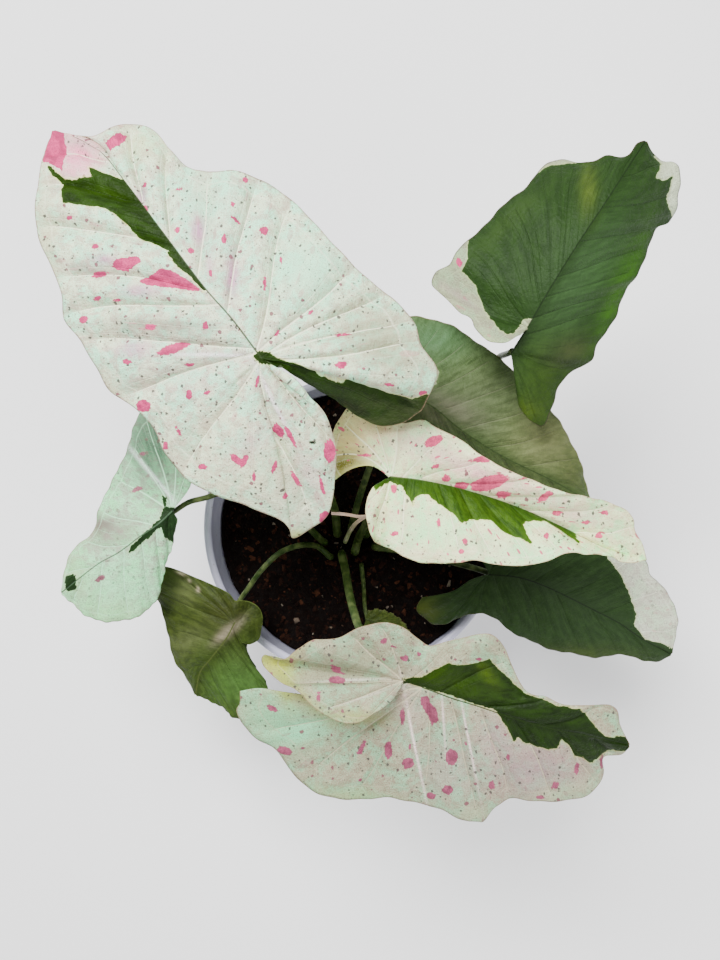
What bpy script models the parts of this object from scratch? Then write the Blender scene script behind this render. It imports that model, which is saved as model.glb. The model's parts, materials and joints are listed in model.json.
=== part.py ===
"""A variegated syngonium in a plain round plastic pot.

Metres, +Z up, the origin at the centre of the pot's foot, +Y away from the viewer.
Each petiole stands in its own hole in the soil and carries one blade.
"""

import math
from collections import namedtuple

import bmesh
import bpy
from mathutils import Vector, noise

MM = 0.001
GAP = 0.3  # mm between two pieces that touch on the real plant

# Pot, in mm
POT_HEIGHT = 120.0
RIM_RADIUS = 70.0
BAND_HEIGHT = 11.0  # the thicker band below the rim
BODY_TOP_RADIUS = 67.6
FOOT_RADIUS = 50.5
FLOOR_THICKNESS = 3.0
INNER_FOOT_RADIUS = 48.6
INNER_RIM_RADIUS = 66.4
EDGE_ROUND = 1.2
LIP_CHAMFER = 0.6
TURN_STEPS = 64

# Soil, in mm. It is heaped towards the viewer's right, where it nearly reaches the rim.
SOIL_MEAN_HEIGHT = 109.0
SOIL_HEAP = 6.5
SOIL_HEAP_TOWARDS = math.radians(-40.0)
SOIL_CLEARANCE = 0.45  # from the soil to the pot's sloping wall
SOIL_RINGS = 10
CHIP_SIZE = 9.0
CHIP_RELIEF = 2.4
FINE_CHIP_SIZE = 4.0
FINE_CHIP_RELIEF = 1.2
FINE_CHIP_LAYER = Vector((0, 0, 12))  # another slice of the same noise
HOLE_BOTTOM = 89.0
HOLE_MOUTH = 112.5  # up to here a stem stands upright
HOLE_SIDES = 12
MOUTH_RISE = 7.0  # over this height it starts to lean
MOUTH_LEAN = 0.1  # share of the way to its route's next point

# Blades and petioles, in mm
BLADE_THICKNESS = 0.9
BLADE_COLUMNS = 5
COLUMN_CROWDING = 1.25  # above 1 the columns crowd towards the midrib
BEND_SPAN = 0.25  # share of the margin over which a bent inner edge straightens out
STALK_SEAT = 1.5  # from a blade's middle surface down to its petiole's end
STALK_INSET = 0.1  # share of the way to the midrib's second point
STALK_RISE = 5.0  # the last, upright stretch of a petiole
PETIOLE_STEP = 8.0

# The plant is drawn as it looks from an eye straight above it. A point (x, y, z) has its
# x and y in mm as seen at the level of the rim, and its own height z above the ground.
EYE = (2.8, 21.9, 620.0)

# A side of a blade runs from its basal lobe round to the tip. bend holds points of its
# inner edge, root is the midrib station that the lobe fans out from, and lobe is the
# share of the margin in that fan.
Side = namedtuple("Side", "lobe root bend margin")
# rows counts the midrib stations, sweep draws the side ribs forward, dome lifts each half.
Blade = namedtuple("Blade", "rows sweep dome colour midrib left right")
Petiole = namedtuple("Petiole", "foot_radius top_radius route")

CREAM = (0.74, 0.80, 0.70, 1.0)
MINT = (0.55, 0.70, 0.58, 1.0)
MID_GREEN = (0.12, 0.26, 0.07, 1.0)
GREY_GREEN = (0.24, 0.32, 0.17, 1.0)
DARK_GREEN = (0.05, 0.12, 0.04, 1.0)
OLIVE = (0.13, 0.20, 0.04, 1.0)
STEM_GREEN = (0.10, 0.24, 0.05, 1.0)
PALE_PINK = (0.85, 0.62, 0.58, 1.0)
POT_WHITE = (0.74, 0.73, 0.82, 1.0)
SOIL_BROWN = (0.03, 0.017, 0.012, 1.0)

BLADES = {
    "top_left": Blade(
        15, 1.6, 2.5, CREAM,
        [(-43, 78.5, 250), (-56.5, 96.5, 252), (-70, 112, 251), (-88, 136, 246),
         (-105.5, 159.5, 238), (-116, 173, 231), (-126, 180, 227), (-139, 183, 221)],
        Side(0.50, 0, [], [
            (-27.5, 69, 246.6), (-20.5, 60.5, 244), (-13, 52, 239),
            (-8.5, 38, 234), (-9, 22, 228), (-11.5, 6.5, 222), (-19.5, -0.5, 219),
            (-28.5, -5, 217), (-33, 2.5, 223), (-48.5, 9, 228), (-64.5, 15, 231),
            (-77, 22, 232), (-87.5, 33.5, 231), (-93, 45, 233), (-100.5, 54.5, 234),
            (-113.5, 63.5, 232), (-121, 75.5, 235), (-127.5, 87, 234), (-134.5, 97, 232),
            (-136.5, 110, 235), (-142, 123, 234), (-147, 136.5, 232), (-148, 152, 232),
            (-146, 167, 229), (-143, 177.5, 224)]),
        Side(0.40, 0, [(-33, 74, 246), (-24, 69.5, 238), (-14, 64, 228),
                       (-4, 57.5, 217)], [
            (5.5, 50, 208), (15, 47, 207), (24, 49, 211), (31, 54, 222), (35.5, 63, 235),
            (39, 73, 238), (31.5, 84.5, 242), (27.5, 95.5, 241), (18.5, 106, 239),
            (3, 118.5, 242), (-8.5, 130.5, 243), (-20.5, 144, 240), (-32.5, 154.5, 237),
            (-46, 163, 239), (-56.5, 166, 240), (-69, 165, 236), (-78, 168, 233),
            (-85.5, 176, 234), (-92, 183.5, 231), (-100.5, 187, 229), (-112.5, 186, 230),
            (-122, 182, 229), (-130, 182.5, 225)]),
    ),
    "top_right": Blade(
        12, 1.5, 3.0, MID_GREEN,
        [(73, 81, 206), (80.5, 92.5, 211), (89.5, 108, 216), (104, 131.5, 219),
         (119, 154, 215), (135.5, 179.5, 203)],
        Side(0.30, 3, [], [
            (77.5, 89, 216), (71, 86, 217), (63, 86.5, 215), (56.5, 92, 213),
            (54.5, 96.5, 210), (49.5, 99.5, 207), (43, 106, 203), (36.5, 112.5, 199),
            (38, 118.5, 200), (44.5, 122.5, 205), (48, 128.5, 206), (54, 134, 205),
            (62.5, 142.5, 204), (70.5, 150.5, 206), (80, 158.5, 207), (87, 166.5, 203),
            (95.5, 171, 201), (109, 169.5, 205), (117.5, 172.5, 206), (127, 173, 207),
            (131.5, 178.5, 205)]),
        Side(0.28, 0, [], [
            (76.5, 60, 197), (79, 52.5, 194), (87, 46.5, 191), (90.5, 52.5, 192),
            (93, 59, 193), (96.5, 67, 194), (103.5, 74, 193), (110.5, 77.5, 194),
            (113, 84, 195), (121, 97, 194), (126, 108.5, 196), (131.5, 117.5, 197),
            (137, 129, 194), (140.5, 138.5, 193), (146.5, 142.5, 189), (150.5, 149, 190),
            (151.5, 164, 193), (148.5, 169.5, 195), (142.5, 171, 199), (138, 176, 202)]),
    ),
    "back": Blade(
        11, 1.4, 2.0, GREY_GREEN,
        [(22.5, 63, 188), (36.5, 56, 189), (50, 45, 186), (69, 33, 180), (93.5, 21, 170),
         (110.5, 11, 160)],
        Side(0.30, 0, [], [
            (13, 82.5, 185), (16, 94.5, 182), (27.5, 98, 181),
            (42.5, 95, 182), (53, 89, 182), (66.5, 79.5, 181), (78, 69, 177),
            (90.5, 55.5, 171), (98.5, 44.5, 167), (104.5, 32, 164), (108, 21, 161)]),
        Side(0.12, 0, [], [
            (18, 57, 187), (17.5, 48, 183), (25, 39.5, 177), (40, 32, 169),
            (56.5, 22.5, 163), (75, 11.5, 158), (93.5, 7, 157)]),
    ),
    "centre": Blade(
        12, 1.5, 2.0, CREAM,
        [(17, 23.5, 198), (30.5, 22, 196), (45.5, 19, 194), (61.5, 14.5, 192),
         (77, 9, 190), (96, 0.5, 188), (116, -9.5, 186), (136, -15.5, 182)],
        Side(0.32, 0, [(11, 27.5, 198), (5, 28.5, 196), (-2, 26.5, 193)], [
            (-8.5, 22, 190), (-11.5, 28, 189), (-11.5, 38, 190), (-8.5, 47, 192),
            (-2, 56, 193), (6.5, 57.5, 194), (15, 52.5, 197), (23, 48.5, 200),
            (32, 50, 203), (38, 46.5, 205), (50, 40.5, 207), (57.5, 34.5, 206),
            (67, 29, 205), (80, 23, 204), (92.5, 18, 203), (108.5, 14, 202),
            (124, 9.5, 197), (129.5, 4.5, 193), (131, -2, 190), (134.5, -8.5, 186)]),
        Side(0.22, 0, [], [
            (12, 20, 200), (7.5, 16.5, 202), (5.5, 10, 203), (6, 2.5, 202), (8, -4.5, 198),
            (11, -8, 195), (16.5, -10, 198), (23, -13.5, 199), (30.5, -16.5, 199),
            (38.5, -17, 199), (48.5, -16.5, 201), (56.5, -15.5, 203), (66.5, -17.5, 201),
            (78, -18, 200), (89.5, -16, 200), (99.5, -12, 200), (109, -12.5, 197),
            (117, -13.5, 193), (128, -16.5, 187)]),
    ),
    "front": Blade(
        14, 1.6, 2.5, CREAM,
        [(23, -71.5, 205), (33.5, -75, 206), (45.5, -79.5, 206), (58.5, -83.5, 205),
         (73.5, -88.5, 203), (91, -93.5, 200), (110.5, -97.5, 195), (128, -101, 188)],
        Side(0.54, 0, [], [
            (16.5, -81, 209), (10, -86, 213), (1, -91, 214), (-9.5, -89.5, 212),
            (-19.5, -83, 213), (-26, -76.5, 212), (-34, -72, 209), (-42.5, -64, 203),
            (-41.5, -59.5, 206), (-32.5, -61, 212), (-26, -56.5, 216), (-18.5, -52.5, 218),
            (-7.5, -51.5, 216), (3.5, -46, 219), (13, -44.5, 222), (22.5, -46.5, 220),
            (30, -52, 214), (36, -55, 212), (45.5, -52.5, 217), (58.5, -50, 220),
            (65, -50.5, 219), (70, -56, 214), (73.5, -64.5, 209), (80, -76, 204),
            (88.5, -78.5, 206), (98.5, -82.5, 205), (114.5, -82.5, 202), (122, -84.5, 197),
            (124, -92, 192)]),
        Side(0.43, 3, [(16.5, -75.5, 202), (6.5, -76.5, 200), (-11, -78.5, 197),
                       (-30, -76.5, 193), (-43, -74.5, 190)], [
            (-53, -76, 189), (-53, -81.5, 186), (-54.5, -86.5, 183), (-48, -96.5, 178),
            (-36, -103.5, 175), (-30, -113, 170), (-21, -121.5, 167), (-8.5, -126, 166),
            (3.5, -127, 168), (16, -125.5, 170), (28, -128, 168), (40, -131.5, 166),
            (51, -136, 165), (59.5, -137, 166), (66.5, -130, 172), (74, -126, 176),
            (86.5, -127.5, 177), (98.5, -127.5, 177), (110, -123.5, 176),
            (116, -114.5, 179), (116.5, -107, 184), (124.5, -106, 185)]),
    ),
    "left": Blade(
        11, 1.4, 2.0, MINT,
        [(-84.5, 7.5, 172), (-91, 1.5, 173), (-99, -4, 171), (-109, -11.5, 166),
         (-119.5, -17.5, 160), (-136, -30.5, 150)],
        Side(0.55, 0, [], [
            (-77.5, 17, 174), (-74.5, 25, 176), (-72.5, 36.5, 178), (-78, 50, 176),
            (-89.5, 57, 172), (-98.5, 54.5, 168), (-104, 41.5, 163), (-108, 30, 160),
            (-114, 19, 158), (-118, 10, 157), (-120.5, 0, 156), (-123.5, -4, 155),
            (-129.5, -9.5, 153), (-133.5, -16, 152), (-135.5, -23, 151)]),
        Side(0.05, 0, [], [
            (-82, 4, 170), (-83.5, -4.5, 165), (-85.5, -12, 161), (-88, -19.5, 157),
            (-89.5, -28, 152), (-92, -34, 149), (-97, -39.5, 146), (-104.5, -43, 144),
            (-112, -44, 143), (-118.5, -43.5, 143), (-124.5, -41.5, 144), (-129, -37, 145),
            (-133.5, -34, 148)]),
    ),
    "low_left": Blade(
        9, 1.3, 1.5, OLIVE,
        [(-55.5, -44.5, 142), (-59.5, -52, 141), (-66.5, -61, 137), (-71.5, -67.5, 132),
         (-73.5, -78, 126)],
        Side(0.55, 0, [], [
            (-52.5, -53.5, 141), (-48.5, -54.5, 139), (-44.5, -52.5, 138), (-43, -48.5, 138),
            (-42.5, -43, 138), (-43.5, -38.5, 138), (-47.5, -35, 139), (-52, -34, 141),
            (-55.5, -34, 142), (-58.5, -30.5, 141), (-66.5, -26.5, 139), (-73.5, -23.5, 137),
            (-86.5, -18.5, 133), (-96, -19, 129), (-98, -26, 127), (-92, -33, 127),
            (-89, -39, 128), (-87.5, -46.5, 128), (-85.5, -55, 127), (-83, -62.5, 126),
            (-78.5, -70, 125)]),
        Side(0.06, 3, [], [
            (-54, -57, 137), (-48.5, -63, 133), (-42.5, -69.5, 131), (-39.5, -78.5, 128),
            (-45, -87, 125), (-54.5, -89, 124), (-62.5, -83, 124), (-68.5, -80.5, 125)]),
    ),
    "low_right": Blade(
        11, 1.4, 2.0, DARK_GREEN,
        [(63, -22, 150), (77, -23.5, 151), (90, -28, 149), (107.5, -36.5, 144),
         (123, -44.5, 138), (134, -52, 132), (147.5, -59, 124)],
        Side(0.15, 0, [], [
            (60, -16, 149), (58.5, -8.5, 147), (67, -2, 144), (85.5, 0.5, 141),
            (107.5, -3.5, 140), (125.5, -8.5, 138), (135.5, -15, 135), (138, -22.5, 134),
            (144.5, -28.5, 131), (148.5, -35.5, 129), (150.5, -44, 127),
            (149.5, -52.5, 125)]),
        Side(0.33, 0, [(54.5, -24.5, 148), (46.5, -29.5, 144), (38.5, -31.5, 140)], [
            (32, -32.5, 137), (29, -38.5, 134), (35.5, -44.5, 133),
            (42, -45, 135), (47.5, -43, 138), (54, -40.5, 141), (59.5, -40, 142),
            (66, -43, 141), (73, -48.5, 138), (82, -53, 135), (90.5, -56.5, 133),
            (102, -59, 132), (112, -60.5, 130), (124.5, -59.5, 130), (130.5, -60.5, 128),
            (136, -62.5, 125), (142.5, -62.5, 123)]),
    ),
    "small": Blade(
        5, 1.2, 1.0, OLIVE,
        [(5.5, -42.5, 131), (11, -44, 134), (18.5, -48, 133), (26, -52.5, 130)],
        Side(0.10, 0, [], [
            (6.5, -39, 130), (11, -38, 130), (17.5, -40, 130), (23, -44, 129),
            (26, -49, 129)]),
        Side(0.10, 0, [], [
            (4.5, -46, 129), (7.5, -50, 128), (13, -53.5, 127), (19.5, -55, 127)]),
    ),
}

# Each route starts in the soil and stops short of its blade.
PETIOLES = {
    "top_left": Petiole(2.1, 1.2, [
        (-7.5, -2.5, 104), (-9.5, 10, 140), (-19, 31, 185), (-30, 54, 222),
        (-39.5, 71, 240)]),
    "top_right": Petiole(1.9, 1.2, [
        (5.5, -3, 104), (17, 12.5, 128), (35.5, 35, 148), (54, 60, 158), (63.5, 74, 166),
        (67.5, 79, 172), (71, 80.5, 186)]),
    "back": Petiole(1.7, 1.3, [
        (-1.5, -0.5, 104), (3.5, 17, 135), (12, 40.5, 162), (18.5, 55.5, 177)]),
    "centre": Petiole(2.2, 1.3, [
        (0.5, -10.5, 104), (2, -5.5, 118), (5, 0.5, 140), (10.5, 10.5, 166),
        (15, 19.5, 187)]),
    "front": Petiole(2.1, 1.5, [
        (-5.5, -12, 104), (-4, -20, 128), (-2, -31.5, 155), (2.5, -47, 180),
        (11, -61, 193)]),
    "left": Petiole(1.8, 1.1, [
        (-13.5, -6.5, 104), (-25, 3, 138), (-42.5, 13.5, 158), (-58, 16.5, 164),
        (-69.5, 13.5, 166), (-77, 11.5, 166)]),
    "low_left": Petiole(1.5, 1.1, [
        (-10.5, -13, 104), (-17, -9, 120), (-25, -8.5, 131), (-34.5, -12, 136),
        (-43, -20, 137), (-49.5, -29, 134), (-54, -36, 133.5)]),
    "low_right": Petiole(1.7, 1.3, [
        (9.5, -8.5, 104), (21.5, -11, 120), (40, -15, 133), (54, -18.5, 140)]),
    "small": Petiole(1.2, 0.9, [
        (3.5, -17, 104), (4.5, -27, 116), (5, -36.5, 123)]),
}
FURLED_ROUTE = [(-4, -6, 104), (-2, -2, 130), (1, 2, 155), (4.5, 4.5, 175), (5, 5, 183),
                (2, 5, 189), (-4, 6, 193), (-10.5, 6.5, 194)]
FURLED_RADII = (1.3, 0.7)


def place(point):
    """A drawn point's real position in metres, up its line of sight from the rim's level."""
    x, y, z = point
    share = (EYE[2] - z) / (EYE[2] - POT_HEIGHT)
    return Vector((EYE[0] + (x - EYE[0]) * share, EYE[1] + (y - EYE[1]) * share, z)) * MM


def smooth_curve(points, samples_per_span=12):
    """Finely spaced points on a Catmull-Rom curve through the given ones."""
    knots = [Vector(p) for p in points]
    ends = [2 * knots[0] - knots[1]] + knots + [2 * knots[-1] - knots[-2]]
    fine = []
    for a, b, c, d in zip(ends, ends[1:], ends[2:], ends[3:]):
        for k in range(samples_per_span):
            t = k / samples_per_span
            fine.append(0.5 * (2 * b + (c - a) * t + (2 * a - 5 * b + 4 * c - d) * t ** 2
                               + (3 * b - a - 3 * c + d) * t ** 3))
    fine.append(knots[-1])
    return fine


def walk(fine, shares):
    """Points at the given shares of a fine polyline's length."""
    lengths = [0.0]
    for a, b in zip(fine, fine[1:]):
        lengths.append(lengths[-1] + (b - a).length)
    found, k = [], 0
    for share in shares:
        target = share * lengths[-1]
        while k < len(fine) - 2 and lengths[k + 1] < target:
            k += 1
        while k > 0 and lengths[k] > target:
            k -= 1
        span = max(lengths[k + 1] - lengths[k], 1e-9)
        found.append(fine[k].lerp(fine[k + 1], min(1.0, (target - lengths[k]) / span)))
    return found


def make_material(name, colour, roughness, metallic=0.0):
    """A Principled material."""
    material = bpy.data.materials.new(name)
    material.use_nodes = True
    shader = material.node_tree.nodes["Principled BSDF"]
    shader.inputs["Base Color"].default_value = colour
    shader.inputs["Roughness"].default_value = roughness
    shader.inputs["Metallic"].default_value = metallic
    return material


def add_object(name, data, material, collection):
    """A named object with one material in the given collection."""
    made = bpy.data.objects.new(name, data)
    if material:
        data.materials.append(material)
    collection.objects.link(made)
    return made


def spokes(blade, side):
    """Rows of drawn points for one side: each runs from its midrib station to the margin."""
    stations = [(k / blade.rows) ** blade.sweep for k in range(blade.rows + 1)]
    rib = walk(smooth_curve(blade.midrib), stations)
    fan_rows = max(1, round((blade.rows - side.root) * side.lobe / (1 - side.lobe)))
    rows = [(side.root, side.lobe * i / fan_rows) for i in range(fan_rows)]
    for k in range(side.root, blade.rows):
        rows.append((k, side.lobe + (1 - side.lobe) * (k - side.root) / (blade.rows - side.root)))
    margin = walk(smooth_curve(side.margin + [blade.midrib[-1]]), [s for _, s in rows])
    columns = [(j / BLADE_COLUMNS) ** COLUMN_CROWDING for j in range(BLADE_COLUMNS + 1)]
    root, corner = rib[side.root], margin[0]
    bends = [Vector((0, 0, 0))] * len(columns)
    if side.bend:
        inner_edge = walk(smooth_curve([root] + side.bend + [corner]), columns)
        bends = [p - root.lerp(corner, t) for p, t in zip(inner_edge, columns)]
    reach = max((m - rib[k]).xy.length for m, (k, _) in zip(margin, rows))
    spread = []
    for (k, s), end in zip(rows, margin):
        fade = max(0.0, 1.0 - s / BEND_SPAN)
        lift = blade.dome * (end - rib[k]).xy.length / reach
        row = [rib[k].lerp(end, t) + fade * bend + Vector((0, 0, 4 * lift * t * (1 - t)))
               for t, bend in zip(columns, bends)]
        spread.append((k, row[1:]))
    return rib, spread


def make_blade(name, blade, material, collection):
    """A blade: two sides that share the midrib, as one triangulated sheet made thick."""
    mesh = bmesh.new()
    rib_points = spokes(blade, blade.left)[0]
    rib = [mesh.verts.new(place(p)) for p in rib_points]

    def add_face(*corners):
        if len(set(corners)) == 3:
            mesh.faces.new(corners)

    for side, turned in ((blade.left, False), (blade.right, True)):
        rows = [[rib[k]] + [mesh.verts.new(place(p)) for p in row]
                for k, row in spokes(blade, side)[1]]
        rows.append([rib[-1]] * (BLADE_COLUMNS + 1))
        for near, far in zip(rows, rows[1:]):
            for j in range(BLADE_COLUMNS):
                first = (near[j], near[j + 1], far[j + 1])
                second = (near[j], far[j + 1], far[j])
                for corners in (first, second):
                    add_face(*(reversed(corners) if turned else corners))
    mesh.normal_update()
    if sum(face.normal.z for face in mesh.faces) < 0:
        bmesh.ops.reverse_faces(mesh, faces=mesh.faces)
    data = bpy.data.meshes.new(name)
    mesh.to_mesh(data)
    mesh.free()
    data.shade_smooth()
    made = add_object(name, data, material, collection)
    thick = made.modifiers.new("Thickness", "SOLIDIFY")
    thick.thickness = BLADE_THICKNESS * MM
    thick.offset = 0.0
    return made


def make_tube(name, path, radii, material, collection):
    """A tapered round stem along a path in metres."""
    curve = bpy.data.curves.new(name, "CURVE")
    curve.dimensions = "3D"
    curve.bevel_depth = MM
    curve.bevel_resolution = 2
    curve.use_fill_caps = True
    length = sum((b - a).length for a, b in zip(path, path[1:]))
    count = max(4, round(length / (PETIOLE_STEP * MM)))
    shares = [k / count for k in range(count + 1)]
    spline = curve.splines.new("POLY")
    spline.points.add(count)
    for point, at, share in zip(spline.points, walk(smooth_curve(path), shares), shares):
        point.co = (*at, 1.0)
        point.radius = radii[0] + (radii[1] - radii[0]) * share
    return add_object(name, curve, material, collection)


def out_of_soil(route):
    """A drawn route in metres: upright in its hole, then leaning over to its next points."""
    foot, *rest = [place(p) for p in route]
    bottom = HOLE_BOTTOM + GAP
    upright = [Vector((foot.x, foot.y, z * MM))
               for z in (bottom, (bottom + HOLE_MOUTH) / 2, HOLE_MOUTH)]
    lean = foot.lerp(rest[0], MOUTH_LEAN)
    lean.z = (HOLE_MOUTH + MOUTH_RISE) * MM
    return upright + [lean] + rest


def petiole_path(petiole, midrib):
    """A petiole's route in metres, up to its seat just below the blade."""
    seat = place(midrib[0]).lerp(place(midrib[1]), STALK_INSET)
    seat.z -= STALK_SEAT * MM
    below = seat - Vector((0, 0, STALK_RISE * MM))
    return out_of_soil(petiole.route) + [below, seat]


def make_pot(material, collection):
    """The pot: a turned profile with a thicker band at the rim and a plain flat foot."""
    top, band = POT_HEIGHT, POT_HEIGHT - BAND_HEIGHT
    profile = [
        (0, FLOOR_THICKNESS), (INNER_FOOT_RADIUS, FLOOR_THICKNESS),
        (INNER_RIM_RADIUS, top - EDGE_ROUND), (INNER_RIM_RADIUS + LIP_CHAMFER, top),
        (RIM_RADIUS - LIP_CHAMFER, top), (RIM_RADIUS, top - EDGE_ROUND),
        (RIM_RADIUS, band + EDGE_ROUND), (BODY_TOP_RADIUS, band),
        (FOOT_RADIUS + EDGE_ROUND, EDGE_ROUND), (FOOT_RADIUS, 0), (0, 0)]
    data = bpy.data.meshes.new("pot")
    verts = [(x * MM, 0, z * MM) for x, z in profile]
    data.from_pydata(verts, [(k, k + 1) for k in range(len(verts) - 1)], [])
    made = add_object("pot", data, material, collection)
    turn = made.modifiers.new("Turn", "SCREW")
    turn.steps = turn.render_steps = TURN_STEPS
    turn.use_merge_vertices = True
    turn.merge_threshold = 0.00005
    return made


def soil_height(x, y):
    """Height of the soil in mm: a heap to one side, broken up by bark chips."""
    along = x * math.cos(SOIL_HEAP_TOWARDS) + y * math.sin(SOIL_HEAP_TOWARDS)
    chips = CHIP_RELIEF * noise.noise(Vector((x, y, 0)) / CHIP_SIZE)
    fine = FINE_CHIP_RELIEF * noise.noise(Vector((x, y, 0)) / FINE_CHIP_SIZE + FINE_CHIP_LAYER)
    return SOIL_MEAN_HEIGHT + SOIL_HEAP * along / INNER_RIM_RADIUS + chips + fine


def make_soil(feet, material, collection, cutters):
    """The soil: it fills the pot up to its chip surface, with a hole for each stem."""
    inner_slope = (INNER_RIM_RADIUS - INNER_FOOT_RADIUS) / (POT_HEIGHT - FLOOR_THICKNESS)
    bottom = FLOOR_THICKNESS + GAP
    mesh = bmesh.new()

    def ring(radius, height):
        made = []
        for k in range(TURN_STEPS):
            turn = 2 * math.pi * k / TURN_STEPS
            wall = radius(turn)
            x, y = wall * math.cos(turn), wall * math.sin(turn)
            made.append(mesh.verts.new((x * MM, y * MM, height(x, y) * MM)))
        return made

    def wall_radius(turn):
        reach = INNER_FOOT_RADIUS + inner_slope * (SOIL_MEAN_HEIGHT - FLOOR_THICKNESS)
        edge = soil_height(reach * math.cos(turn), reach * math.sin(turn))
        return INNER_FOOT_RADIUS + inner_slope * (edge - FLOOR_THICKNESS) - SOIL_CLEARANCE

    floor_radius = INNER_FOOT_RADIUS - SOIL_CLEARANCE
    rings = [ring(lambda turn: floor_radius, lambda x, y: bottom)]
    for k in range(SOIL_RINGS, 0, -1):
        share = k / SOIL_RINGS
        rings.append(ring(lambda turn, share=share: share * wall_radius(turn), soil_height))
    for near, far in zip(rings, rings[1:]):
        for k in range(TURN_STEPS):
            nxt = (k + 1) % TURN_STEPS
            mesh.faces.new((near[k], near[nxt], far[nxt]))
            mesh.faces.new((near[k], far[nxt], far[k]))
    middle = mesh.verts.new((0, 0, soil_height(0, 0) * MM))
    for k in range(TURN_STEPS):
        mesh.faces.new((rings[-1][k], rings[-1][(k + 1) % TURN_STEPS], middle))
    mesh.faces.new(reversed(rings[0]))
    bmesh.ops.recalc_face_normals(mesh, faces=mesh.faces)
    data = bpy.data.meshes.new("soil")
    mesh.to_mesh(data)
    mesh.free()
    made = add_object("soil", data, material, collection)

    for k, (at, radius) in enumerate(feet):
        shape = bmesh.new()
        depth = POT_HEIGHT - HOLE_BOTTOM
        bmesh.ops.create_cone(shape, cap_ends=True, segments=HOLE_SIDES, depth=depth * MM,
                              radius1=(radius + GAP) * MM, radius2=(radius + GAP) * MM)
        data = bpy.data.meshes.new(f"hole_{k}")
        shape.to_mesh(data)
        shape.free()
        cutter = add_object(f"hole_{k}", data, None, cutters)
        cutter.location = (at.x, at.y, (HOLE_BOTTOM + depth / 2) * MM)
        cutter.hide_render = True
        cutter.display_type = "WIRE"
    holes = made.modifiers.new("Holes", "BOOLEAN")
    holes.operand_type = "COLLECTION"
    holes.collection = cutters
    holes.solver = "EXACT"
    return made


def main():
    """Build the plant in a scene of its own."""
    for old in list(bpy.data.objects):
        bpy.data.objects.remove(old)
    plant = bpy.data.collections.new("potted_syngonium")
    cutters = bpy.data.collections.new("cutters")
    bpy.context.scene.collection.children.link(plant)
    bpy.context.scene.collection.children.link(cutters)

    make_pot(make_material("pot_plastic", POT_WHITE, 0.35), plant)
    stem_material = make_material("stem", STEM_GREEN, 0.4)
    feet = []
    for name, blade in BLADES.items():
        leaf_material = make_material(f"leaf_{name}", blade.colour, 0.45)
        make_blade(f"blade_{name}", blade, leaf_material, plant)
        petiole = PETIOLES[name]
        path = petiole_path(petiole, blade.midrib)
        make_tube(f"petiole_{name}", path, (petiole.foot_radius, petiole.top_radius),
                  stem_material, plant)
        feet.append((path[0], petiole.foot_radius))

    furled = out_of_soil(FURLED_ROUTE)
    make_tube("furled_leaf", furled, FURLED_RADII,
              make_material("furled", PALE_PINK, 0.4), plant)
    feet.append((furled[0], FURLED_RADII[0]))
    make_soil(feet, make_material("soil", SOIL_BROWN, 0.9), plant, cutters)


main()
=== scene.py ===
"""The finished looks of a potted variegated syngonium, laid out as a Blender add-on.

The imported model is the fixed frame. Each blade, each stalk, the rolled young leaf, the soil
and the pot get a finer piece that keeps the place and form of the solid it replaces.
Lengths in the tables are mm. The plant is drawn as seen from an eye straight above it.
"""

import json
import math
from collections import namedtuple

import bmesh
import bpy
import numpy as np
from bpy.props import FloatProperty, FloatVectorProperty, IntProperty, PointerProperty
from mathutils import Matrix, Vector, noise

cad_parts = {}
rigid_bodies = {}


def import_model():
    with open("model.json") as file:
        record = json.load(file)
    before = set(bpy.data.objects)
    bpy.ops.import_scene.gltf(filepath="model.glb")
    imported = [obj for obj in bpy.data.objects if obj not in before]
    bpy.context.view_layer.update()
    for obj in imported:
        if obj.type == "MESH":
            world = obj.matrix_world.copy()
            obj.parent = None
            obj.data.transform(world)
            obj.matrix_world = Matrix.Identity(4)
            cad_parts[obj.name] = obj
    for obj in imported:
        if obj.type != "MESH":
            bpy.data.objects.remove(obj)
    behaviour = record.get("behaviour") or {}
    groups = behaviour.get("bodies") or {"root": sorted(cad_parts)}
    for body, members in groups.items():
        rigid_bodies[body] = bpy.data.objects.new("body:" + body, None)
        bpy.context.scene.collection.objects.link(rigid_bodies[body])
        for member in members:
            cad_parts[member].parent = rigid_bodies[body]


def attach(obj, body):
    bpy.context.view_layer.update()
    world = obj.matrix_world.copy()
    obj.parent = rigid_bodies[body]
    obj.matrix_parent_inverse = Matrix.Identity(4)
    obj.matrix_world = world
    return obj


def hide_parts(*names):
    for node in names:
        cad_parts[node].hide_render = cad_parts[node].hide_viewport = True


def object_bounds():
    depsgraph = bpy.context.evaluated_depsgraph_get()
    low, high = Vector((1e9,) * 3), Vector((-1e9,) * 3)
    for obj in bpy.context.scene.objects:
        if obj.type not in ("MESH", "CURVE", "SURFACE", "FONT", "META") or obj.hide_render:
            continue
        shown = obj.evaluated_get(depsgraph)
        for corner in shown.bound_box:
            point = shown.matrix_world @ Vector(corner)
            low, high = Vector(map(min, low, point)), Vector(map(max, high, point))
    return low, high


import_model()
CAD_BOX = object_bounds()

bl_info = {
    "name": "Potted syngonium",
    "version": (1, 0, 0),
    "blender": (4, 5, 0),
    "location": "View3D > Sidebar > Syngonium",
    "description": "Builds the leaves, stalks, soil and pot of a variegated house plant",
    "category": "Object",
}

MM = 0.001
BODY = "root"

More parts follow.
